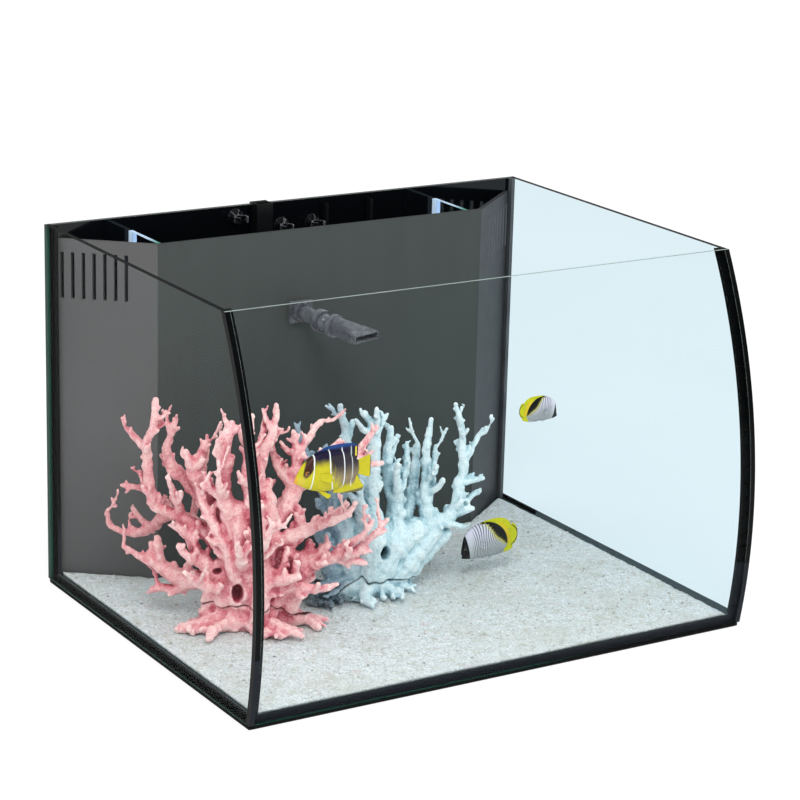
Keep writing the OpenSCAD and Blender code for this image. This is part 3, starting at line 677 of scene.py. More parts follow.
def spline(points, steps_between):
    """Smooth run through the points, with steps_between(b, c) steps from b to c."""
    pts = [np.array(p, float) for p in points]
    pts = [2 * pts[0] - pts[1]] + pts + [2 * pts[-1] - pts[-2]]
    out = []
    for a, b, c, d in zip(pts, pts[1:], pts[2:], pts[3:]):
        count = steps_between(b, c)
        for k in range(count):
            t = k / count
            out.append(0.5 * (2 * b + (c - a) * t + (2 * a - 5 * b + 4 * c - d) * t * t
                              + (3 * b - a - 3 * c + d) * t ** 3))
    out.append(pts[-2])
    return out


def relax(places, ends, rounds, share=0.5):
    """Moves each row, a point, part of the way to the middle of its neighbours."""
    count = len(places)
    degree = np.bincount(ends.ravel(), minlength=count)[:, None]
    for _ in range(rounds):
        total = np.stack([
            np.bincount(ends[:, 0], places[ends[:, 1], k], count)
            + np.bincount(ends[:, 1], places[ends[:, 0], k], count)
            for k in range(places.shape[1])], 1)
        places = places + share * (total / np.maximum(degree, 1) - places)
    return places


def spread(values, ends, rounds):
    """Softens one number per point over the mesh."""
    return relax(values[:, None], ends, rounds)[:, 0]


def applied(piece):
    """Puts a piece's modifiers into its mesh."""
    seen = piece.evaluated_get(bpy.context.evaluated_depsgraph_get())
    mesh = bpy.data.meshes.new_from_object(seen)
    piece.modifiers.clear()
    piece.data = mesh
    return mesh


def turned_out(mesh):
    """Makes every closed shell's faces look outward."""
    bm = bmesh.new()
    bm.from_mesh(mesh)
    bmesh.ops.recalc_face_normals(bm, faces=bm.faces)
    bm.to_mesh(mesh)
    bm.free()


def soft_box(low, high, cell, radius, dent=None):
    """Box with rounded edges, its faces in small squares; dent(p, n) gives how far a point sinks."""
    low, high = Vector(low), Vector(high)
    size = high - low
    ball = Vector((radius, radius, radius))
    steps = [max(4, round(size[k] / cell)) for k in range(3)]
    index, verts, faces = {}, [], []

    def vertex(ijk):
        if ijk not in index:
            index[ijk] = len(verts)
            p = Vector(low[k] + size[k] * ijk[k] / steps[k] for k in range(3))
            core = Vector(np.clip(p, low + ball, high - ball))
            out = p - core
            normal = out.normalized() if out.length > 1e-9 else Vector((0, 0, 1))
            p = core + normal * radius
            if dent:
                p -= normal * dent(p, normal)
            verts.append(tuple(p))
        return index[ijk]

    for axis in range(3):
        u, v = [k for k in range(3) if k != axis]
        for end in (0, steps[axis]):
            for i in range(steps[u]):
                for j in range(steps[v]):
                    square = []
                    for di, dj in ((0, 0), (1, 0), (1, 1), (0, 1)):
                        ijk = [0, 0, 0]
                        ijk[axis], ijk[u], ijk[v] = end, i + di, j + dj
                        square.append(vertex(tuple(ijk)))
                    flip = (end > 0) != (axis == 1)
                    faces.append(tuple(square if flip else square[::-1]))
    shape = Shape()
    shape.add(verts, faces)
    return shape


# ---------- camera, light and floor ----------

# The photo's viewpoint, fitted to the tank's outer corners
CAMERA_PLACE = Vector((-1.44985, -2.33373, 1.04807))
YAW, PITCH, ROLL = 0.55679, 0.28811, 0.02682       # right of +Y, down, and about the view
LENS_MM = 120.964
SKY_STRENGTH = 1.0
SKY_REFLECTED = 0.16                # what shiny things see of it
FLOOR_HALF = 12


def add_camera():
    look = Vector((math.sin(YAW) * math.cos(PITCH), math.cos(YAW) * math.cos(PITCH),
                   -math.sin(PITCH)))
    level = Vector((math.cos(YAW), -math.sin(YAW), 0))
    up = level.cross(look)
    right = math.cos(ROLL) * level + math.sin(ROLL) * up
    top = math.cos(ROLL) * up - math.sin(ROLL) * level
    lens = bpy.data.cameras.new("camera")
    lens.lens = LENS_MM
    lens.sensor_width = 36.0
    lens.clip_end = 50
    camera = bpy.data.objects.new("camera", lens)
    turn = Matrix((right, top, -look)).transposed().to_4x4()
    camera.matrix_world = Matrix.Translation(CAMERA_PLACE) @ turn
    scene.collection.objects.link(camera)
    scene.camera = camera


def add_area_light(name, place, target, size, power):
    lamp = bpy.data.lights.new(name, "AREA")
    lamp.shape = "SQUARE"
    lamp.size = size
    lamp.energy = power
    made = bpy.data.objects.new(name, lamp)
    made.location = place
    made.rotation_euler = (Vector(target) - Vector(place)).to_track_quat("-Z", "Y").to_euler()
    scene.collection.objects.link(made)
    return made


def add_studio():
    world = bpy.data.worlds.new("studio")
    world.use_nodes = True
    tree = world.node_tree
    back = tree.nodes["Background"]
    back.inputs["Color"].default_value = (1, 1, 1, 1)
    path = tree.nodes.new("ShaderNodeLightPath")
    dim = tree.nodes.new("ShaderNodeMapRange")       # black flags: reflections see a dim room
    dim.inputs["To Min"].default_value = SKY_STRENGTH
    dim.inputs["To Max"].default_value = SKY_REFLECTED
    tree.links.new(path.outputs["Is Glossy Ray"], dim.inputs["Value"])
    tree.links.new(dim.outputs[0], back.inputs["Strength"])
    scene.world = world
    scene.view_settings.view_transform = "Standard"
    scene.cycles.transparent_max_bounces = 32

    middle = (0, -0.05, 0.15)
    add_area_light("key", (-0.9, -1.6, 2.2), middle, 1.0, 32)
    add_area_light("fill", (2.2, -1.0, 1.3), middle, 1.4, 10)

    floor = Shape()
    half = FLOOR_HALF
    floor.add([(x, y, 0) for x in range(-half, half + 1) for y in range(-half, half + 1)],
              grid_faces(2 * half, 2 * half))
    paint = Paint("floor", 0.9, specular_ior_level=0.0, emission_color=(1, 1, 1, 1),
                  emission_strength=0.74)
    paint.colour(paint.mix(paint.noise(3, 2), (0.27, 0.27, 0.27, 1), (0.31, 0.31, 0.31, 1)))
    ground = floor.piece("floor", paint, False)
    ground.location.z = -0.2 * MM


add_camera()
add_studio()

# ---------- materials of the CAD nodes ----------

SLOT_PAINTS = {
    "black_glass": black_glass_paint(),
    "silicone": silicone_paint(),
    "foam": foam_paint(),
    "dark_acrylic": acrylic_paint("dark_acrylic_panel", srgb(66, 71, 70)),
    # paler than the dark acrylic: partly the panel's own grey, partly painted light on the lit left weir
    # panel
    "grey_acrylic": acrylic_paint("grey_acrylic_panel", srgb(90, 90, 91)),
    "clear_acrylic": clear_baffle_paint(*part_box("left_baffle")),
    "black_plastic": moulded("black_moulding", srgb(15, 16, 18), 0.36,
                              specular_ior_level=0.25),
    "sponge": sponge_paint(),
    "grey_plastic": moulded("grey_moulding", srgb(128, 131, 136), 0.38),
    "white_plastic": moulded("white_moulding", srgb(216, 216, 212), 0.40, 0.05),
    "clear_plastic": clear_clip_paint(),
    "smoke_plastic": smoke_paint(),
    "hose": hose_paint(),
    "motor_core": motor_core_paint(),
    "ceramic": ceramic_paint(),
    "rubber": moulded("moulded_rubber", srgb(26, 26, 27), 0.62, 0.15, 0.08, 500),
    "steel": steel_paint(),
}

NODE_PAINTS = {
    "left_glass": pane("left_pane", 0, CLEAR_PASS, srgb(4, 9, 8), side_bond),
    "right_glass": pane("right_pane", 0, BLUE_PASS, srgb(8, 11, 12), side_bond),
    # the front pane's pale edge colour is glass edge lightened as a painted highlight on its top arris
    "front_glass": pane("front_pane", 1, CLEAR_PASS, srgb(150, 164, 160), front_bond),
    "base_glass": moulded("base_pane", srgb(22, 50, 46), 0.08),
    "right_weir_panel": acrylic_paint("right_panel", srgb(60, 62, 65), (0.76, 0.65)),
    "front_right_trim": silicone_paint("right_corner_silicone", turn=-2),
    "rear_right_trim": silicone_paint("grey_silicone", (82, 86, 90), (82, 86, 90)),
    "base_seam": silicone_paint("seam_silicone", (7, 9, 10), (70, 83, 88), -2),
    "nozzle_ball": smoke_paint("pale_smoke_moulding", 1.55),
}

BEVEL_MM = {
    "silicone": 0.5, "black_plastic": 0.4, "grey_plastic": 0.3, "white_plastic": 0.3,
    "dark_acrylic": 0.3, "grey_acrylic": 0.3, "black_glass": 0.4,
}


def dress_nodes():
    for part in frame["record"]["subparts"]:
        name, slot = part["node"], part.get("material_slot")
        node = NODES[name]
        paint = NODE_PAINTS.get(name) or SLOT_PAINTS.get(slot)
        if not paint:
            continue
        for held in node.material_slots:
            held.material = paint.material
        if slot in BEVEL_MM:
            edge = node.modifiers.new("edge", "BEVEL")
            edge.width = BEVEL_MM[slot] * MM
            edge.segments = 2
            edge.limit_method = "ANGLE"
            edge.angle_limit = math.radians(40)
            edge.use_clamp_overlap = True


dress_nodes()

# ---------- sand ----------

DIVIDER_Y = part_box("rear_divider")[0].y
DIVIDER_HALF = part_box("rear_divider")[1].x
SAND_LOW, SAND_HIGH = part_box("sand_bed")
SAND_TOP = SAND_HIGH.z
PANEL_GAP = 0.3 * MM                # between the sand and the panels behind it
EDGE_DIP = 14 * MM                  # width of the strip that dips towards the right pane
GRAIN_COUNT = 3600


def sand_height(x, y):
    """Top of the sand, which is never quite level."""
    drift = noise.fractal((x * 9, y * 9, 0.3), 1.0, 2.0, 3)
    ripple = noise.fractal((x * 60, y * 60, 1.7), 1.0, 2.0, 3)
    dip = min(1, max(0, (x - SAND_HIGH.x) / EDGE_DIP + 1))
    clump = abs(noise.noise((x * 115, y * 115, 4.1)))
    return SAND_TOP + (drift * 1.1 + ripple * 0.6 - clump * 1.3 - 0.1 - 2.3 * dip * dip) * MM


def rear_of_sand(x):
    """Where the sand stops behind: at the divider, or along the slanted weir panels."""
    share = (abs(x) - DIVIDER_HALF) / (SAND_HIGH.x - DIVIDER_HALF)
    return DIVIDER_Y - PANEL_GAP + (SAND_HIGH.y - DIVIDER_Y) * min(1, max(0, share))


def make_sand():
    columns, rows = 260, 190
    grid = []
    for i in range(columns + 1):
        x = SAND_LOW.x + (SAND_HIGH.x - SAND_LOW.x) * i / columns
        back = rear_of_sand(x)
        line = [(x, SAND_LOW.y + (back - SAND_LOW.y) * j / rows) for j in range(rows + 1)]
        grid.append([(px, py, sand_height(px, py)) for px, py in line])
    verts = [p for line in grid for p in line]
    faces = grid_faces(columns, rows)
    rim = grid_rim(columns, rows)
    base = len(verts)
    floor_z = SAND_LOW.z + 0.1 * MM
    verts += [(verts[k][0], verts[k][1], floor_z) for k in rim]
    count = len(rim)
    faces += [(rim[k], base + k, base + (k + 1) % count, rim[(k + 1) % count])
              for k in range(count)]
    faces.append(tuple(base + k for k in range(count))[::-1])
    shape = Shape()
    shape.add(verts, faces)
    piece = shape.piece("sand", sand_paint())
    finish_piece(piece, "tank", "sand", "sand_bed")


def make_grains():
    """Loose grains and shell crumbs lying on the sand."""
    pick = random.Random(5)
    shape = Shape()
    golden = (1 + math.sqrt(5)) / 2         # the corners of an icosahedron
    corners = [Vector(p).normalized() for p in
               [(-1, golden, 0), (1, golden, 0), (-1, -golden, 0), (1, -golden, 0),
                (0, -1, golden), (0, 1, golden), (0, -1, -golden), (0, 1, -golden),
                (golden, 0, -1), (golden, 0, 1), (-golden, 0, -1), (-golden, 0, 1)]]
    sides = [(0, 11, 5), (0, 5, 1), (0, 1, 7), (0, 7, 10), (0, 10, 11), (1, 5, 9), (5, 11, 4),
             (11, 10, 2), (10, 7, 6), (7, 1, 8), (3, 9, 4), (3, 4, 2), (3, 2, 6), (3, 6, 8),
             (3, 8, 9), (4, 9, 5), (2, 4, 11), (6, 2, 10), (8, 6, 7), (9, 8, 1)]
    made = 0
    while made < GRAIN_COUNT:
        x = pick.uniform(SAND_LOW.x + 3 * MM, SAND_HIGH.x - 3 * MM)
        y = pick.uniform(SAND_LOW.y + 3 * MM, SAND_HIGH.y)
        if y > rear_of_sand(x) - 3 * MM:
            continue
        size = pick.uniform(0.45, 1.0) ** 2 * 1.9 * MM
        turn = Matrix.Rotation(pick.uniform(0, math.tau), 3, Vector(
            (pick.uniform(-1, 1), pick.uniform(-1, 1), pick.uniform(0.2, 1))).normalized())
        stretch = (pick.uniform(0.7, 1.5), pick.uniform(0.7, 1.1), pick.uniform(0.45, 0.8))
        middle = Vector((x, y, sand_height(x, y) + size * 0.12))
        verts = [middle + turn @ Vector(c[k] * stretch[k] * size * pick.uniform(0.85, 1.1)
                                        for k in range(3)) for c in corners]
        shape.add(verts, sides)
        made += 1
    piece = shape.piece("sand_grains", grain_paint())
    finish_piece(piece, "tank", "sand")


make_sand()
make_grains()

# ---------- silicone bead along the foot of the glass ----------

WALL_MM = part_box("right_glass")[0].x / MM           # the side panes' inner faces
FRONT_BEAD_RADIUS_MM = 598.9
JOINT_FOOT_MM, JOINT_TOP_MM = 5.05, 10.95           # the thin joint beside the base pane
JOINT_NEAR_MM, JOINT_FAR_MM = 0.05, 0.95            # its distances from the glass
BASE_TOP_MM = 11.02                                 # what the bead rests on
BEAD_WIDTH_MM, RIGHT_BEAD_WIDTH_MM = 4.0, 7.2


def front_wall(z):
    """Y of the front pane's inner face at height z, both in millimetres."""
    return BOW_AXIS_Y_MM - math.sqrt(FRONT_BEAD_RADIUS_MM ** 2 - (z - BOW_AXIS_Z_MM) ** 2)


def bead_outline(top, width):
    """Points (distance from the glass, height) round a hollow-faced bead and the joint under it."""
    hollow = []
    for k in range(9):
        t = k / 8
        bow = 0.22 * math.sin(math.pi * t)
        hollow.append((width * (t - bow * 0.7), top + (BASE_TOP_MM - top) * (t + bow * 0.7)))
    return ([(JOINT_NEAR_MM, JOINT_FOOT_MM)] + hollow
            + [(JOINT_FAR_MM, BASE_TOP_MM), (JOINT_FAR_MM, JOINT_FOOT_MM)])


def in_metres(ring):
    return [tuple(c * MM for c in point) for point in ring]


def make_seam():
    """Tooled bead along the left, front and right, and the thin joint round the base pane."""
    shape = Shape()
    rear, end = DIVIDER_Y / MM - 8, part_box("base_seam")[1].y / MM
    start = front_wall(8)
    film = [(JOINT_NEAR_MM, JOINT_FOOT_MM), (JOINT_NEAR_MM, JOINT_TOP_MM),
            (JOINT_FAR_MM, JOINT_TOP_MM), (JOINT_FAR_MM, JOINT_FOOT_MM)]
    for side, top, width in ((-1, BEAD_TOP_MM, BEAD_WIDTH_MM),
                             (1, RIGHT_BEAD_TOP_MM, RIGHT_BEAD_WIDTH_MM)):
        rings = []
        for k in range(61):
            y = start + (rear - start) * k / 60
            wave = 0.35 * noise.noise((side * 3.1, y * 0.05, 0))
            rings.append(in_metres(
                (side * (WALL_MM - d), max(y, front_wall(z) + 0.05), z + wave * (z > 11.1))
                for d, z in bead_outline(top, width)))
        shape.loft(rings)
        shape.loft([in_metres((side * (WALL_MM - d), y, z) for d, z in film)
                    for y in (rear, end - 0.05)])
    rings = []
    for k in range(81):
        x = -WALL_MM + 0.1 + (2 * WALL_MM - 0.2) * k / 80
        wave = 0.3 * noise.noise((x * 0.05, 7.7, 0))
        rings.append(in_metres((x, front_wall(z) + d, z + wave * (z > 11.1))
                               for d, z in bead_outline(BEAD_TOP_MM, BEAD_WIDTH_MM)))
    shape.loft(rings)
    shape.loft([in_metres((x, end - d, z) for d, z in film)
                for x in (1 - WALL_MM, WALL_MM - 1)])
    piece = shape.piece("base_seam_bead", NODE_PAINTS["base_seam"], False)
    turned_out(piece.data)
    finish_piece(piece, "tank", "silicone", "base_seam")


make_seam()

# ---------- foam: sponges and mat ----------

def make_sponges():
    """Filter sponges: slightly slumped blocks with open pores."""
    for number, name in enumerate(("left_sponge", "right_sponge")):
        low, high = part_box(name)
        shift = Vector((number * 7.3, 0, 0))

        def sink(place, _way):
            slump = 0.5 + 0.5 * noise.noise(place * 22 + shift)
            pore = max(0.0, 0.5 - noise.voronoi(place * 170 + shift)[0][0])
            return (1.3 * slump + 2.2 * pore) * MM

        piece = soft_box(low, high, 2.2 * MM, 4 * MM, sink).piece(name + "_foam", sponge_paint())
        finish_piece(piece, name + "_body", "sponge", name)


def make_mat():
    """Foam mat, its cut edges a little uneven."""
    low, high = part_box("levelling_mat")

    def sink(place, way):
        return 0.2 * MM * (0.5 + 0.5 * noise.noise(place * 90)) * (1 - abs(way.z))

    piece = soft_box(low, high, 6 * MM, 0.6 * MM, sink).piece("levelling_mat_foam", foam_paint())
    finish_piece(piece, "tank", "foam", "levelling_mat")


make_sponges()
make_mat()

# ---------- corals ----------

CORAL_FOOT_MM = 15.0            # where the ornaments stand, the top of the sand
TRUNK_REACH_MM = 32             # from the middle, where the cut starts to drop to the foot
THIN_LIMB_MM, THICK_LIMB_MM = 8, 17     # radii between which a limb is slimmed less and less


def curve_points(points, step_mm=2.5):
    """Smooth run through [x, y, z, radius] points, in small steps."""
    return spline(points, lambda b, c: max(2, int(np.linalg.norm(c[:3] - b[:3]) / step_mm)))


def add_limb(shape, points, wobble, seed, sides=12):
    """Closed knobbly tube along a run of [x, y, z, radius], in millimetres."""
    path = curve_points(points)
    places = [Vector(p[:3]) for p in path]
    widths = [max(1.2, float(p[3])) for p in path]
    for i, p in enumerate(places):
        drift = noise.noise_vector(p * 0.045 + Vector((seed, 0, 0)))
        places[i] = p + drift * wobble * min(6, widths[i])
        widths[i] *= 1 + 0.22 * noise.noise(p * 0.11 + Vector((0, seed, 0)))
    side = Vector((0.31, 0.87, 0.39))
    rings = []
    last = len(places) - 1

    for i, middle in enumerate(places):
        along = (places[min(i + 1, last)] - places[max(i - 1, 0)]).normalized()
        domes = (-0.95, -0.6, 0) if i == 0 else (0, 0.45, 0.75, 0.95) if i == last else (0,)
        for share in domes:                 # 0 is the limb itself, the others round its ends off
            side = (side - along * side.dot(along)).normalized()
            other = along.cross(side)
            radius = widths[i] * math.sqrt(1 - share * share)
            centre = middle + along * widths[i] * share
            rings.append([
                tuple((centre + radius * (math.cos(a) * side + math.sin(a) * other)) * MM)
                for a in (math.tau * k / sides for k in range(sides))])
    shape.loft(rings)


def slimmed(limbs, share):
    """The same limbs with their thin parts made thinner; the trunk keeps its width."""
    out = []
    for limb in limbs:
        line = []
        for x, y, z, radius in limb:
            keep = min(1, max(0, (radius - THIN_LIMB_MM) / (THICK_LIMB_MM - THIN_LIMB_MM)))
            line.append([x, y, z, radius * (share + (1 - share) * keep)])
        out.append(line)
    return out


def inside(tip, bounds_mm):
    (x0, x1), (y0, y1), z1 = bounds_mm
    return x0 < tip.x < x1 and y0 < tip.y < y1 and tip.z < z1


def shoots_for(limbs, seed, spacing_mm, bounds_mm, grow, thick_share, widest=8.5, rise=0.35):
    """Side shoots along each limb's thinner part, leaning out and then up."""
    pick = random.Random(seed)
    out = []
    for limb in limbs:
        path = curve_points(limb)
        run = 0.0
        due = spacing_mm * pick.uniform(0.4, 1.0)
        for before, here in zip(path, path[1:]):
            run += np.linalg.norm(here[:3] - before[:3])
            if run < due or here[3] > widest:
                continue
            due = run + spacing_mm * pick.uniform(0.6, 1.4)
            along = Vector(here[:3] - before[:3]).normalized()
            turn = Vector((pick.gauss(0, 1), pick.gauss(0, 1), pick.gauss(0.25, 0.9)))
            out_way = (turn - along * turn.dot(along) * 0.7).normalized()
            way = (out_way + along * 0.5 + Vector((0, 0, rise))).normalized()
            reach = here[3] + pick.uniform(*grow)
            thick = max(2.0, here[3] * pick.uniform(*thick_share))
            start = Vector(here[:3])
            bend = start + way * reach * 0.5 - Vector((0, 0, 0.10 * reach))
            tip = start + way * reach + Vector((0, 0, 0.12 * reach))
            if inside(tip, bounds_mm):
                out.append([[*start, thick], [*bend, thick * 0.9],
                            [*tip, max(1.7, thick * 0.62)]])
    return out


def rock_limbs(middle, toes, seed):
    """Star-shaped foot: a lobe to each toe, with smaller lobes between, their tips just
    clear of the sand."""
    pick = random.Random(seed)
    x, y = middle
    z = CORAL_FOOT_MM
    out = []
    for toe in toes:
        tx, ty = toe
        lift = pick.uniform(4.5, 7.5)
        out.append([[x, y, z + 9, 18], [x + (tx - x) * 0.45, y + (ty - y) * 0.45, z + 9, 11],
                    [x + (tx - x) * 0.78, y + (ty - y) * 0.78, z + lift + 1, 6.5],
                    [tx, ty, z + lift, 3.6]])
        for _ in range(5):
            share = pick.uniform(0.35, 0.92)
            sx, sy = x + (tx - x) * share, y + (ty - y) * share
            angle = math.atan2(ty - y, tx - x) + pick.choice((-1, 1)) * pick.uniform(0.5, 1.1)
            reach = pick.uniform(11, 24)
            out.append([[sx, sy, z + 7, 6.5],
                        [sx + math.cos(angle) * reach, sy + math.sin(angle) * reach,
                         z + pick.uniform(3.5, 8), 2.8]])
    return out


def hollowness(places, ends, vectors, rounds, depth):
    """How far each point lies below its surroundings, 0 proud to 1 sunk."""
    smooth = relax(places, ends, rounds, 0.6)
    sunk = ((smooth - places) * vectors).sum(1) / depth
    return np.clip(0.5 + 0.5 * sunk, 0, 1)


def dent(places, centre_mm, way, radius_mm, depth_mm, stretch=(1, 1, 1)):
    """Pushes a round patch of the surface in along way, as a deep hole; returns its mask."""
    way = np.array(Vector(way).normalized())
    apart = (places / MM - np.array(centre_mm)) / np.array(stretch)
    along = apart @ way
    across = np.linalg.norm(apart - np.outer(along, way), axis=1)
    near = np.abs(along) < radius_mm * 2.2
    share = eased(1.45 - across / radius_mm) * near
    places += np.outer(share * depth_mm * MM, way)
    return np.clip(share * 1.2, 0, 1)


def set_attribute(mesh, name, values):
    layer = mesh.attributes.new(name, "FLOAT", "POINT")
    layer.data.foreach_set("value", values.astype(np.float32))


def coral_relief(place, seed, rocky):
    """How far in millimetres the skin stands out: lumps, round knobs and fine ridges."""
    v = Vector(place)
    lump = noise.fractal(v * 75 + Vector((seed, 0, 0)), 0.9, 2.1, 3)
    knob = max(0.0, 0.60 - noise.voronoi(v * 105 + Vector((0, seed, 0)))[0][0])
    ridge = abs(noise.noise(v * 230)) - 0.25
    grit = noise.noise(v * 400)
    lift = 0.75 * lump + 1.9 * knob - 0.35 + 0.8 * ridge + 0.4 * grit
    if rocky:
        crease = abs(noise.noise(v * 52 + Vector((0, 0, seed)))) - 0.22
        lift += 1.7 * noise.fractal(v * 34, 0.9, 2.1, 3) - 5.0 * min(0.1, crease) - 0.4
    return lift


def grow_coral(name, limbs, rock, seam, holes, rough_seed, voxel_mm=1.15):
    """One skin over limbs and rock, roughened and grooved along the seam height, where add_coral cuts it
    in two.
    seam(x, y) in millimetres gives the height of the cut; holes are dent() arguments, each
    with how black its painted shade is inside."""
    shape = Shape()
    for i, limb in enumerate(limbs):
        add_limb(shape, limb, 0.55, rough_seed + i * 3.7)
    for i, limb in enumerate(rock):
        add_limb(shape, limb, 0.35, rough_seed + 200 + i * 2.9)
    whole = shape.piece(name, None)
    skin = whole.modifiers.new("skin", "REMESH")
    skin.mode = "VOXEL"
    skin.voxel_size = voxel_mm * MM
    mesh = applied(whole)
    ends = edge_ends(mesh)
    places = relax(coords(mesh), ends, 3, 0.5)
    set_coords(mesh, places)
    out = normals(mesh)
    cut = np.array([seam(p[0] / MM, p[1] / MM) for p in places])
    lift = np.array([coral_relief(p, rough_seed, p[2] / MM < height)
                     for p, height in zip(places, cut)])
    lift = spread(lift, ends, 1)
    places = places + out * (lift * MM)[:, None]
    # painted shade inside the deep holes, carried in hollow and groove
    dark = np.zeros(len(places))
    hole_shade_mask = np.zeros(len(places))
    for *hole, hole_shade in holes:
        sunk = dent(places, *hole)
        dark = np.maximum(dark, sunk)
        hole_shade_mask = np.maximum(hole_shade_mask, (sunk > 0.7) * hole_shade)
    gap = places[:, 2] / MM - cut
    groove = np.clip(1 - np.abs(gap) / 1.4, 0, 1)
    places -= out * (groove ** 0.7 * 1.8 * MM)[:, None] * np.array([1, 1, 0.2])
    places[:, 2] = np.maximum(places[:, 2], (CORAL_FOOT_MM - 1.5) * MM)
    set_coords(mesh, places)
    sunk = hollowness(places, ends, normals(mesh), 14, 2.0 * MM)
    # holes count as more sunk, to deepen their painted shade
    sunk = np.clip(sunk + dark * 0.6, 0, 1)
    set_attribute(mesh, "hollow", spread(sunk, ends, 1))
    line = np.clip(groove * 1.3, 0, 1) * (groove > 0.35)
    set_attribute(mesh, "groove", spread(np.maximum(line, hole_shade_mask), ends, 1))
    return whole, gap


def split_mesh(whole, name, keep):
    """New object with only the faces whose points are all kept, and its cut filled."""
    made = whole.copy()
    made.data = whole.data.copy()
    made.name = made.data.name = name
    scene.collection.objects.link(made)
    bm = bmesh.new()
    bm.from_mesh(made.data)
    bm.verts.ensure_lookup_table()
    faces = [f for f in bm.faces if sum(keep[v.index] for v in f.verts) * 2 < len(f.verts) + 1]
    bmesh.ops.delete(bm, geom=faces, context="FACES")
    loose = [v for v in bm.verts if not v.link_faces]
    bmesh.ops.delete(bm, geom=loose, context="VERTS")
    rim = [e for e in bm.edges if e.is_boundary]
    filled = bmesh.ops.holes_fill(bm, edges=rim, sides=0)
    bmesh.ops.triangulate(bm, faces=filled["faces"])
    bm.to_mesh(made.data)
    bm.free()
    made.data.shade_smooth()
    return made


def add_coral(name, slot, nodes, limbs, rock, seam, holes, seed, paints):
    whole, gap = grow_coral(name + "_whole", limbs, rock, seam, holes, seed)
    for suffix, keep, paint, node in zip(("branches", "rock"), (gap > 0, gap <= 0),
                                         paints, nodes):
        piece = split_mesh(whole, name + "_" + suffix, keep)
        piece.data.materials.clear()
        piece.data.materials.append(paint.material)
        finish_piece(piece, "tank", slot, node)
    bpy.data.objects.remove(whole)


# Limbs are runs of [x, y, z, radius], from the trunk outwards
PINK_MIDDLE = (-190, -10)
PINK_TOES = [(-262, 0), (-238, -26), (-188, -60), (-160, -84), (-112, -52), (-126, -10),
             (-165, 22), (-202, 34)]
PINK_LIMBS = [
    [[-190, -8, 38, 22], [-195, -20, 80, 19], [-180, -30, 110, 14]],
    [[-195, -20, 80, 16], [-210, 0, 105, 12], [-240, 35, 130, 8], [-265, 50, 145, 7],
     [-275, 45, 205, 6], [-270, 40, 230, 5], [-266, 40, 258, 4]],
    [[-275, 45, 205, 5], [-283, 78, 220, 3.5]],
    [[-210, 0, 105, 11], [-215, 10, 135, 10], [-230, 40, 165, 8], [-245, 55, 190, 6],
     [-234, 60, 228, 4]],
    [[-215, 10, 135, 11], [-225, 20, 170, 12], [-243, 20, 204, 4.5]],
    [[-195, -20, 80, 16], [-215, -20, 160, 10], [-220, -20, 215, 9], [-210, -20, 242, 4.5]],
    [[-180, -30, 110, 12], [-200, -35, 185, 7], [-199, -40, 254, 3.5]],
    [[-210, 0, 105, 10], [-230, 70, 120, 8], [-255, 100, 95, 6], [-280, 120, 100, 4],
     [-285, 120, 116, 3]],
    [[-230, 70, 120, 7], [-262, 75, 150, 5], [-284, 85, 156, 3.5]],
    [[-195, -20, 80, 15], [-230, 30, 60, 12], [-260, 60, 75, 8], [-262, 60, 95, 4]],
    [[-260, 60, 75, 6], [-284, 82, 88, 3.5]],
    [[-230, 30, 60, 10], [-240, 42, 48, 7], [-262, 60, 45, 4.5]],
    [[-180, -30, 110, 13], [-180, -25, 190, 8], [-160, -20, 235, 5], [-159, -20, 256, 3.5]],
    [[-180, -25, 190, 7], [-165, -5, 231, 4]],
    [[-180, -30, 110, 13], [-130, -10, 155, 10], [-125, -5, 190, 7], [-128, 0, 216, 4]],
    [[-125, -5, 190, 6], [-94, 0, 224, 4]],
    [[-130, -10, 155, 9], [-110, -25, 180, 7], [-85, -22, 208, 4]],
    [[-110, -25, 180, 7], [-85, -40, 185, 6], [-50, -40, 222, 4]],
    [[-85, -40, 185, 5], [-42, -40, 181, 3.5]],
    [[-180, -30, 110, 12], [-130, -50, 125, 8], [-96, -60, 150, 4]],
    [[-185, -28, 90, 13], [-105, -50, 90, 8], [-75, -60, 100, 6], [-46, -60, 125, 3.5]],
    [[-105, -50, 90, 7], [-73, -60, 80, 4]],
    [[-190, -30, 65, 12], [-162, -78, 86, 4.5]],
]
PINK_TRUNK = [
    [[-168, -24, 36, 17], [-164, -28, 66, 16], [-160, -30, 100, 11]],
    [[-150, -34, 32, 11], [-146, -38, 56, 11], [-138, -42, 86, 8]],
    [[-208, -2, 34, 14], [-206, -6, 60, 14], [-204, -10, 96, 11]],
    [[-224, 6, 30, 9], [-217, 2, 54, 9], [-212, 0, 84, 8]],
    [[-188, -38, 32, 11], [-186, -44, 60, 11], [-186, -42, 98, 9]],
    [[-186, -30, 84, 14], [-200, -28, 120, 12], [-206, -26, 150, 9]],
    [[-180, -32, 84, 14], [-172, -34, 124, 11], [-176, -34, 160, 8]],
]
PINK_FAN = [
    [[-200, -16, 52, 14], [-224, 2, 82, 10], [-240, 24, 116, 7]],
    [[-196, -24, 60, 14], [-216, -22, 104, 9], [-230, -10, 140, 7], [-236, 2, 168, 5]],
    [[-176, -30, 60, 14], [-158, -40, 98, 9], [-138, -38, 132, 7]],
    [[-166, -34, 50, 13], [-138, -46, 78, 9], [-112, -50, 104, 6]],
    [[-186, -34, 70, 14], [-190, -44, 116, 8], [-188, -40, 156, 6]],
]
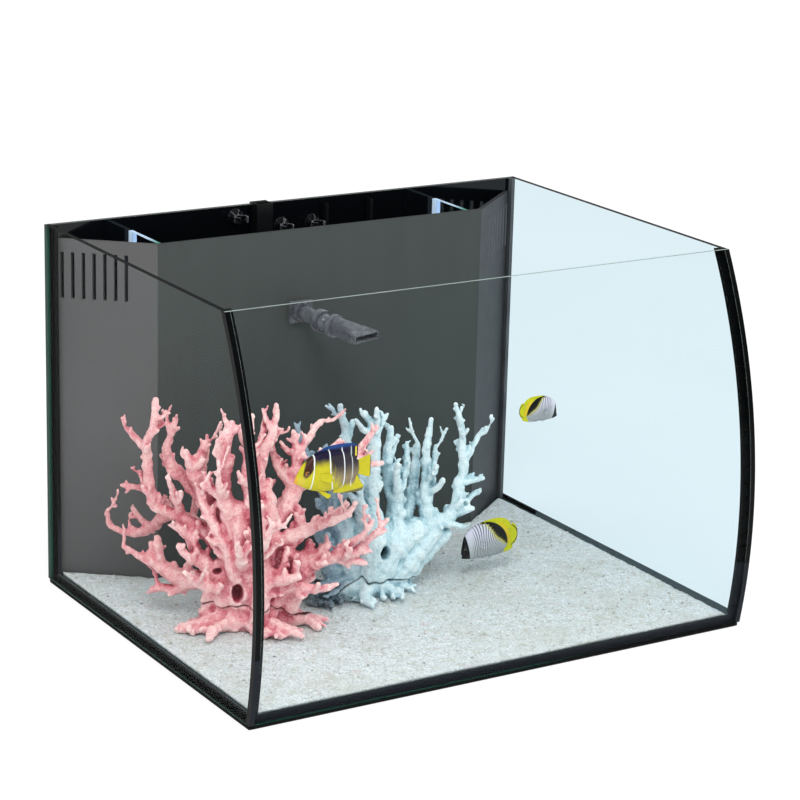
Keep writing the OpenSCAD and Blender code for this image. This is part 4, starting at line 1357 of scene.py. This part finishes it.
PINK_SHOOTS = [
    [[-240, 35, 130, 7], [-252, 28, 160, 5], [-262, 24, 178, 3]],
    [[-225, 20, 170, 8], [-214, 30, 196, 5], [-212, 34, 214, 3]],
    [[-215, -20, 160, 8], [-232, -34, 182, 5], [-236, -40, 200, 3]],
    [[-180, -25, 190, 7], [-192, -10, 214, 4], [-194, -6, 230, 3]],
    [[-130, -10, 155, 8], [-146, 4, 190, 5], [-150, 8, 212, 3]],
    [[-105, -50, 90, 7], [-84, -74, 118, 4.5], [-76, -80, 134, 3]],
    [[-130, -50, 125, 7], [-112, -78, 142, 4.5], [-100, -86, 160, 3]],
    [[-200, -30, 90, 11], [-222, -62, 112, 6], [-232, -74, 132, 3.5]],
    [[-200, -30, 90, 10], [-198, -70, 128, 6], [-196, -84, 152, 3.5]],
    [[-185, -34, 70, 12], [-140, -70, 66, 6], [-120, -84, 74, 3.5]],
    [[-210, -10, 60, 10], [-244, -20, 72, 6], [-266, -26, 92, 3.5]],
    [[-190, -20, 120, 10], [-168, 6, 170, 6], [-172, 14, 205, 3.5]],
]

BLUE_MIDDLE = (-25, 14)
BLUE_TOES = [(-104, 26), (-94, -6), (-52, -22), (0, -24), (26, -4), (34, 32), (-18, 52),
             (-78, 48)]
BLUE_LIMBS = [
    [[-18, 14, 40, 24], [5, 8, 70, 20], [45, 5, 82, 13]],
    [[-15, 16, 60, 20], [-30, 20, 75, 15], [-50, 45, 105, 11], [-80, 50, 165, 7],
     [-94, 50, 204, 4]],
    [[-50, 45, 105, 10], [-40, 35, 140, 9], [-45, 30, 185, 7], [-54, 30, 226, 4]],
    [[-45, 30, 185, 6], [-36, 32, 204, 4]],
    [[-10, 15, 78, 16], [-25, 10, 120, 11], [-20, 10, 190, 8], [-36, 10, 221, 4]],
    [[-20, 10, 190, 6], [-26, 0, 227, 4]],
    [[-20, 10, 190, 6], [-12, 10, 214, 4]],
    [[5, 8, 72, 16], [10, 15, 110, 11], [0, 20, 160, 8], [5, 20, 196, 4]],
    [[0, 20, 160, 7], [19, 30, 183, 4]],
    [[10, 15, 110, 9], [-4, -10, 165, 4]],
    [[5, 8, 72, 14], [35, 25, 110, 10], [50, 40, 145, 7], [52, 40, 168, 4]],
    [[45, 5, 82, 12], [45, 10, 125, 9], [45, 10, 170, 6], [50, 10, 202, 4]],
    [[45, 10, 125, 7], [45, -12, 157, 4]],
    [[45, 5, 82, 11], [70, -5, 95, 10], [85, 0, 130, 8], [85, 0, 175, 6], [75, 0, 219, 3.5]],
    [[85, 0, 150, 6], [100, 5, 162, 5], [116, 10, 183, 3.5]],
    [[85, 0, 130, 6], [106, -10, 134, 3.5]],
    [[70, -5, 95, 7], [87, -20, 104, 4]],
    [[60, -2, 88, 7], [76, -20, 85, 4]],
]
BLUE_TRUNK = [
    [[-36, 22, 34, 18], [-44, 26, 62, 17], [-46, 24, 96, 12]],
    [[-52, 30, 30, 13], [-62, 32, 52, 12], [-60, 34, 84, 8]],
    [[8, 8, 36, 18], [28, 4, 58, 16], [52, 2, 76, 11]],
    [[20, 10, 30, 12], [44, 6, 52, 10], [66, 0, 72, 7]],
    [[-20, 6, 40, 18], [-24, 4, 74, 15], [-22, 6, 104, 10]],
]
BLUE_SHOOTS = [
    [[-30, 18, 60, 16], [-60, 30, 66, 11], [-74, 36, 88, 8]],
    [[-50, 30, 80, 12], [-66, 20, 120, 8], [-64, 14, 150, 4]],
    [[-30, 14, 90, 12], [-42, 0, 124, 7], [-46, -6, 150, 3.5]],
    [[10, 15, 110, 8], [26, 20, 150, 6], [28, 24, 176, 3.5]],
    [[45, 10, 125, 7], [62, 20, 150, 5], [66, 26, 166, 3]],
    [[70, -5, 95, 8], [96, -4, 112, 5], [110, 0, 116, 3]],
]


def seam_for(middle, top, low, wave_seed):
    """Cut height: a wavy line round the trunk that drops to the foot further out."""
    x0, y0 = middle

    def seam(x, y):
        apart = math.hypot(x - x0, y - y0)
        out = eased((apart - TRUNK_REACH_MM) / 26)
        angle = math.atan2(y - y0, x - x0)
        wave = (2.6 * math.sin(3 * angle + wave_seed) + 1.8 * math.sin(5 * angle + 1.3)
                + 1.2 * math.sin(9 * angle + wave_seed * 2))
        return top + wave * (1 - 0.6 * out) - (top - low) * out
    return seam


def dressed_limbs(limbs, seed, room, share):
    """Slims the listed limbs, then adds side branches, stubs and knobs."""
    limbs = slimmed(limbs, share)
    limbs += shoots_for(limbs, seed, 52, room, (14, 26), (0.65, 0.82))
    limbs += shoots_for(limbs, seed + 1, 23, room, (3, 8), (0.6, 0.85))
    limbs += shoots_for(limbs, seed + 2, 16, room, (0.8, 2.6), (0.6, 0.8), 12, 0.1)
    return limbs


def make_corals():
    pink = (srgb(138, 28, 50), srgb(208, 106, 124), srgb(230, 169, 173), srgb(249, 216, 213))
    blue = (srgb(56, 96, 108), srgb(146, 183, 195), srgb(199, 224, 231), srgb(223, 237, 240))
    # the last tuple given to a paint is painted shade: deeper pink towards the back, darker on the blue
    # branches' left flank, and a painted dark cave at the blue rock's left
    pink_paints = [
        resin_paint("pink_resin_branches", *pink, (srgb(192, 84, 98), 1, 5, 75, 0.5)),
        resin_paint("pink_resin_rock", *pink)]
    blue_paints = [
        resin_paint("blue_resin_branches", *blue, (srgb(96, 126, 150), 0, -34, -76, 0.8)),
        resin_paint("blue_resin_rock", *blue, (srgb(44, 62, 78), 0, -52, -76, 0.92))]
    tank_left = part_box("left_glass")[1].x / MM
    pink_room = ((tank_left + 5, -38), (-110, 124), 260)
    pink_limbs = PINK_TRUNK + dressed_limbs(PINK_LIMBS + PINK_FAN + PINK_SHOOTS, 11, pink_room, 0.84)
    # the last number of each hole is how black its painted shade is inside
    add_coral("pink_coral", "pink_resin", ("pink_coral", "pink_coral_base"), pink_limbs,
              rock_limbs(PINK_MIDDLE, PINK_TOES, 21), seam_for(PINK_MIDDLE, 44, 31, 0.4),
              [((-207, -28, 60), (0.4, 0.85, -0.1), 6, 17, (0.75, 1, 1.5), 0.25),
               ((-217, -5, 79), (0.5, 0.8, -0.2), 2.8, 8, (1.5, 1, 0.9), 0.25)], 3.1, pink_paints)
    blue_room = ((-106, 120), (-40, 90), 228)
    blue_limbs = BLUE_TRUNK + dressed_limbs(BLUE_LIMBS + BLUE_SHOOTS, 31, blue_room, 0.76)
    add_coral("blue_coral", "blue_resin", ("blue_coral", "blue_coral_base"), blue_limbs,
              rock_limbs(BLUE_MIDDLE, BLUE_TOES, 22), seam_for(BLUE_MIDDLE, 34, 27, 2.1),
              [((-16, -10, 66), (-0.1, 1, 0), 5, 14, (1, 1, 1.2), 1.0)], 47.3, blue_paints)


make_corals()

# ---------- fish ----------
# A fish faces -X. Its x, z and half thickness are shares of its length, from its middle.

def smooth_row(rows, count):
    """Rows of numbers, resampled evenly along their first column on a smooth run."""
    fine = np.array(spline(rows, lambda b, c: 12))
    run = np.concatenate([[0], np.cumsum(np.linalg.norm(np.diff(fine[:, :2], axis=0), axis=1))])
    at = np.linspace(0, run[-1], count)
    return np.stack([np.interp(at, run, fine[:, k]) for k in range(fine.shape[1])], 1)


def add_body(shape, length, stations, gill_x, mouth_z):
    """Lofted body from (x, top, bottom, half thickness) stations, with gill covers and a mouth."""
    rings = []
    for x, top, bottom, half in smooth_row(stations, 72):
        ring = []
        middle, tall = (top + bottom) / 2, max(0.004, (top - bottom) / 2)
        for k in range(32):
            a = math.tau * k / 32
            z = middle + tall * math.sin(a)
            y = max(half, 0.003) * math.copysign(abs(math.cos(a)) ** 0.85, math.cos(a))
            cover = gill_x - 0.9 * (z - 0.02) ** 2
            y *= 1 - 0.13 * math.exp(-((x - cover) / 0.008) ** 2)
            y *= 1 + 0.05 * math.exp(-((x - cover + 0.03) / 0.03) ** 2)
            slit = math.exp(-((z - mouth_z) / 0.006) ** 2) * max(0, 1 - (x + 0.5) / 0.035)
            y *= 1 - 0.5 * slit
            ring.append((x * length, y * length, z * length))
        rings.append(ring)
    shape.loft(rings)


def add_fin(shape, length, root, edge, rays, thick_mm, sway=0.0, side=0.0, turn=0.0):
    """Thin tapered sheet between a root line and a free edge, ridged by its rays. sway is how
    far it waves; side moves a side fin's root off the middle, and turn bends it away."""
    columns, rows = rays * 4, 10
    foot, rim = smooth_row(root, columns + 1), smooth_row(edge, columns + 1)
    front, back = [], []
    for i in range(columns + 1):
        for j in range(rows + 1):
            v = j / rows
            ray = 0.5 + 0.5 * math.cos(math.tau * i / 4)
            notch = 1 - 0.035 * (1 - ray) * v
            x = foot[i][0] + (rim[i][0] - foot[i][0]) * v * notch
            z = foot[i][1] + (rim[i][1] - foot[i][1]) * v * notch
            y = side + sway * v * v * math.sin(10 * x) + turn * v
            half = (0.5 * thick_mm * (1 - 0.72 * v) * (0.55 + 0.45 * ray)) * MM
            front.append((x * length, y * length - half, z * length))
            back.append((x * length, y * length + half, z * length))
    count = len(front)
    faces = []
    for quad in grid_faces(columns, rows):
        faces.append(quad)
        faces.append(tuple(count + k for k in quad[::-1]))
    loop = grid_rim(columns, rows)
    for a, b in zip(loop, loop[1:] + loop[:1]):
        faces.append((b, a, count + a, count + b))
    shape.add(front + back, faces)


def add_eyes(shape, length, x, z, radius, half):
    """A domed lens on each side of the head."""
    for way in (-1, 1):
        rings = []
        for share in (1.0, 0.97, 0.85, 0.62, 0.34, 0.12):
            rise = half + radius * 0.55 * math.sqrt(1 - share * share * 0.98) - radius * 0.08
            rings.append([((x + radius * share * math.cos(a)) * length, way * rise * length,
                           (z + radius * share * math.sin(a)) * length)
                          for a in (math.tau * k / 28 for k in range(28))])
        rings.insert(0, [(px, way * (half - radius * 0.3) * length, pz)
                         for px, _, pz in rings[0]])
        shape.loft(rings if way < 0 else [ring[::-1] for ring in rings])


def eye_paint(name, length, x, z, radius, ring_colour):
    """Black pupil in a coloured ring, wet."""
    paint = Paint(name, 0.05, coat_weight=0.8, coat_roughness=0.03)
    px, _, pz = paint.axes()
    off = paint.distance(px / length - x, pz / length - z) / radius
    iris = paint.mix(paint.noise(1500, 2), ring_colour, scale_colour(ring_colour, 0.45))
    inner = paint.mix(paint.step(off, 0.50, 0.58), srgb(4, 4, 5), iris)
    paint.colour(paint.mix(paint.step(off, 0.88, 0.98), inner, srgb(14, 12, 12)))
    return paint


def band(paint, value, width, soft):
    """1 where value is within width of 0, with soft edges."""
    return paint.step(abs(value), width + soft, width)


def scale_relief(paint, length):
    """Rows of small scales and fin rays as fine relief."""
    x, _, z = paint.axes()
    pitch = math.tau / (0.024 * length)
    rows = paint.math("SINE", (x + z) * pitch) * paint.math("SINE", (x - z) * pitch)
    paint.bump(rows, 0.12, 0.45)
    paint.gloss(0.26 + paint.noise(240, 3) * 0.2)


def fish_skin(name, length):
    """A paint for skin and fins, with x and z as parts of the fish's length."""
    paint = Paint(name, 0.4, specular_ior_level=0.25, coat_weight=0.06, coat_roughness=0.2)
    x, _, z = paint.axes()
    scale_relief(paint, length)
    return paint, x / length, z / length


def angelfish_paint(length):
    """Yellow below and ahead, navy above and behind, with pale curved bars and a dark mask."""
    paint, x, z = fish_skin("angelfish_skin", length)
    streak = paint.noise(9, 3, 0.6, paint.scaled(90, 1, 9))
    cloud = paint.noise(90, 4, 0.6)
    yellow = paint.mix(cloud, srgb(214, 200, 34), srgb(176, 168, 26))
    navy = paint.mix(streak, srgb(8, 10, 40), srgb(34, 20, 56))
    ahead = paint.step(z + (cloud - 0.5) * 0.08, 0.06, 0.19) * paint.step(x, -0.33, -0.27)
    behind = (paint.step(x, -0.085, -0.06) * 0.97
              * paint.step(z + (streak - 0.5) * 0.75 + x * 1.1, -0.20, 0.06)
              * paint.step(z + (streak - 0.5) * 0.10, -0.215, -0.165))
    tail = paint.step(x, 0.325, 0.335)
    anal = paint.step(x - z * 0.35, 0.335, 0.355) * paint.step(z, -0.05, -0.09)
    dark = paint.capped(paint.most(ahead, behind)) * (1 - tail) * (1 - anal)
    crown = paint.step(z, 0.235, 0.285) * paint.step(x, -0.30, -0.22) * (1 - tail)
    rear_spot = band(paint, x - 0.298, 0.008, 0.004) * band(paint, z - 0.19, 0.045, 0.02)
    lean = x - 0.45 * (z - 0.09) + 0.338
    mask = paint.step(paint.math("SQRT", lean * lean / 0.0030 + (z - 0.10) * (z - 0.10) / 0.016),
                      1.15, 0.85)
    face = paint.step(x, -0.36, -0.42) * paint.step(z, 0.02, -0.03)
    skin = paint.coats(
        yellow, (dark, navy),
        (dark * streak * paint.step(z, 0.10, -0.12) * 0.9, srgb(196, 172, 130)),
        (crown, srgb(24, 64, 130)), (rear_spot, srgb(226, 206, 60)),
        (mask, paint.mix(streak, srgb(20, 10, 12), srgb(86, 40, 30))),
        (face * 0.7, srgb(214, 190, 70)), (paint.step(x, -0.465, -0.485), srgb(222, 168, 44)))
    reach = paint.step(z, 0.275, 0.235) * paint.step(z, -0.235, -0.20)
    for offset, strength in ((x + 0.293 - 0.13 * z, 0.95),
                             (x + 0.078 - 0.55 * (z - 0.10) * (z - 0.10), 1.0),
                             (x - 0.118 + 0.10 * z * z, 0.95),
                             (x - 0.235, 0.55)):
        skin = paint.mix(band(paint, offset, 0.0045, 0.005) * reach * strength, skin,
                         srgb(236, 240, 244))
    hem = paint.step(x, 0.478, 0.492) + paint.step(z - 0.1 * x, -0.287, -0.305)
    paint.colour(paint.mix(paint.capped(hem) * 0.75, skin, srgb(46, 50, 70)))
    return paint


def butterflyfish_paint(name, length):
    """Silver-white with fine dark lines, a black crescent, and yellow behind it."""
    paint, x, z = fish_skin(name, length)
    cloud = paint.noise(110, 3, 0.6)
    u, w = (x + 0.084) / 0.392, (z + 0.1375) / 0.39
    square = u * u + w * w
    radius = paint.math("SQRT", square)
    bulge = paint.most(u * w * 2 / (square + 0.01), 0.0)
    inside = radius - (0.95 - bulge * 0.34)
    above = paint.step(w, -0.02, 0.10)
    lines = paint.math("SINE", (x - 0.22 * u * w - 0.05 * z) * (math.tau / 0.0265))
    fine = paint.step(lines, 0.15, 0.75) * paint.step(x, -0.36, -0.26)
    streaks = paint.step(inside, -0.20, -0.02) * above * paint.step(x, -0.18, -0.02)
    crescent = paint.step(inside, 0.0, 0.03) * above * paint.step(x + z * 0.2, -0.17, -0.08)
    glints = crescent * paint.step(inside, 0.12, 0.02) * paint.step(lines, 0.55, 0.9)
    outside = 1.0 - paint.step(w, 0.10, -0.25) * 0.09
    rear = paint.step(radius - outside, 0.0, 0.03) * paint.step(x, -0.16, -0.06)
    glow = band(paint, radius - 1.09, 0.05, 0.04) * above * paint.step(x, 0.1, 0.25)
    edge = paint.math("SQRT", (x - 0.20) * (x - 0.20) / 0.087 + (z + 0.01) * (z + 0.01) / 0.040)
    hem = band(paint, edge - 0.985, 0.022, 0.012) * paint.step(x, 0.36, 0.40)
    brow = paint.step(x + 0.425 + (z - 0.043) * 0.26, 0.014, 0.004)
    paint.colour(paint.coats(
        paint.mix(paint.step(z, -0.2, 0.15), srgb(176, 184, 186), srgb(206, 206, 222)),
        (fine * (0.75 + cloud * 0.3), srgb(44, 48, 66)),
        (streaks * paint.step(lines, 0.3, -0.3), srgb(206, 200, 40)),
        (crescent, srgb(5, 5, 7)), (glints * 0.8, srgb(190, 186, 40)),
        (rear, paint.mix(cloud, srgb(206, 204, 24), srgb(168, 178, 18))),
        (glow * 0.6, srgb(222, 176, 40)), (hem, srgb(24, 26, 20)),
        (brow * paint.step(x, -0.485, -0.475), srgb(8, 9, 13))))
    return paint


# Stations of a body: x, top, bottom, half thickness
ANGEL_BODY = [
    (-0.500, -0.058, -0.080, 0.010), (-0.480, -0.015, -0.095, 0.024),
    (-0.440, 0.052, -0.118, 0.042), (-0.384, 0.128, -0.150, 0.058),
    (-0.290, 0.205, -0.192, 0.074), (-0.180, 0.240, -0.222, 0.084),
    (-0.060, 0.250, -0.232, 0.084), (0.060, 0.236, -0.222, 0.074),
    (0.170, 0.194, -0.188, 0.056), (0.260, 0.132, -0.132, 0.036),
    (0.320, 0.086, -0.092, 0.022), (0.345, 0.078, -0.084, 0.014)]
# Fins: root line, free edge, rays
ANGEL_FINS = [
    ([(-0.24, 0.205), (-0.10, 0.235), (0.06, 0.225), (0.20, 0.165), (0.30, 0.095)],
     [(-0.28, 0.222), (-0.10, 0.292), (0.08, 0.303), (0.24, 0.292), (0.318, 0.262),
      (0.325, 0.19), (0.318, 0.11)], 16),
    ([(0.02, -0.215), (0.14, -0.185), (0.24, -0.13), (0.315, -0.090)],
     [(0.00, -0.268), (0.12, -0.290), (0.26, -0.302), (0.37, -0.292), (0.41, -0.252),
      (0.37, -0.19), (0.335, -0.12)], 12),
    ([(0.325, 0.078), (0.332, 0.0), (0.325, -0.084)],
     [(0.485, 0.128), (0.498, 0.07), (0.497, -0.01), (0.497, -0.09), (0.482, -0.148)], 12)]
# Side fins: root line, free edge, rays, root's distance from the middle, bend
ANGEL_SIDE_FINS = [
    ([(-0.215, 0.01), (-0.215, -0.03), (-0.210, -0.065)],
     [(-0.095, 0.012), (-0.065, -0.045), (-0.100, -0.105)], 7, 0.078, 0.055),
    ([(-0.20, -0.205), (-0.18, -0.212), (-0.16, -0.216)],
     [(-0.09, -0.318), (-0.055, -0.300), (-0.045, -0.270)], 5, 0.030, 0.020)]

BUTTERFLY_BODY = [
    (-0.500, -0.205, -0.228, 0.008), (-0.478, -0.170, -0.242, 0.018),
    (-0.458, -0.045, -0.250, 0.030), (-0.435, 0.072, -0.256, 0.040),
    (-0.380, 0.150, -0.266, 0.055), (-0.290, 0.212, -0.276, 0.068),
    (-0.140, 0.250, -0.284, 0.074), (0.020, 0.246, -0.276, 0.070),
    (0.160, 0.198, -0.248, 0.056), (0.270, 0.126, -0.200, 0.038),
    (0.330, 0.070, -0.150, 0.020), (0.350, 0.055, -0.135, 0.012)]
BUTTERFLY_FINS = [
    ([(-0.26, 0.205), (-0.10, 0.235), (0.06, 0.220), (0.20, 0.155), (0.31, 0.075)],
     [(-0.29, 0.218), (-0.12, 0.272), (0.05, 0.288), (0.20, 0.280), (0.31, 0.235),
      (0.37, 0.165), (0.365, 0.10)], 16),
    ([(0.02, -0.270), (0.14, -0.240), (0.25, -0.200), (0.32, -0.140)],
     [(0.00, -0.290), (0.13, -0.284), (0.27, -0.268), (0.38, -0.235), (0.42, -0.19),
      (0.40, -0.15), (0.36, -0.12)], 12),
    ([(0.330, 0.055), (0.338, -0.04), (0.330, -0.135)],
     [(0.400, 0.176), (0.462, 0.130), (0.492, 0.030), (0.488, -0.070), (0.445, -0.160)], 12)]
BUTTERFLY_SIDE_FINS = [
    ([(-0.225, -0.02), (-0.225, -0.06), (-0.215, -0.10)],
     [(-0.115, -0.02), (-0.080, -0.085), (-0.115, -0.140)], 7, 0.068, 0.050),
    ([(-0.20, -0.262), (-0.18, -0.266), (-0.16, -0.268)],
     [(-0.09, -0.292), (-0.07, -0.290), (-0.06, -0.284)], 5, 0.026, 0.016)]


def add_fish(name, slot, length, skin, body, fins, side_fins, eye, turned=False):
    """Body, fins and eyes as three pieces that stand where the CAD fish is. eye gives the
    gill cover's x, the mouth's z, and the eye's x, z, radius, distance from the middle, ring."""
    low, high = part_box(name)
    middle = (low + high) / 2
    gill_x, mouth_z, eye_x, eye_z, eye_r, eye_half, ring_colour = eye
    trunk, sheets, lenses = Shape(), Shape(), Shape()
    add_body(trunk, length, body, gill_x, mouth_z)
    for root, edge, rays in fins:
        add_fin(sheets, length, root, edge, rays, 1.3, 0.006)
    for root, edge, rays, side, turn in side_fins:
        for way in (-1, 1):
            add_fin(sheets, length, root, edge, rays, 0.7, 0.0, way * side, way * turn)
    add_eyes(lenses, length, eye_x, eye_z, eye_r, eye_half)
    iris = eye_paint(name + "_eye", length, eye_x, eye_z, eye_r, ring_colour)
    for suffix, shape, paint in (("body", trunk, skin), ("fins", sheets, skin),
                                 ("eyes", lenses, iris)):
        piece = shape.piece(name + "_" + suffix, paint)
        piece.location = middle
        if turned:
            piece.rotation_euler = (0, 0, math.pi)
        finish_piece(piece, "tank", slot, *([name] if suffix == "body" else []))


ANGEL_LENGTH = 0.089
add_fish("angelfish", "angelfish_skin", ANGEL_LENGTH, angelfish_paint(ANGEL_LENGTH), ANGEL_BODY,
         ANGEL_FINS, ANGEL_SIDE_FINS,
         (-0.272, -0.068, -0.367, 0.029, 0.030, 0.056, srgb(196, 120, 40)))
for fish_name, fish_length, fish_turned in (("butterflyfish_large", 0.076, False),
                                            ("butterflyfish_small", 0.050, True)):
    add_fish(fish_name, "butterflyfish_skin", fish_length,
             butterflyfish_paint(fish_name + "_skin", fish_length), BUTTERFLY_BODY,
             BUTTERFLY_FINS, BUTTERFLY_SIDE_FINS,
             (-0.30, -0.215, -0.428, -0.09, 0.026, 0.036, srgb(70, 70, 80)), fish_turned)
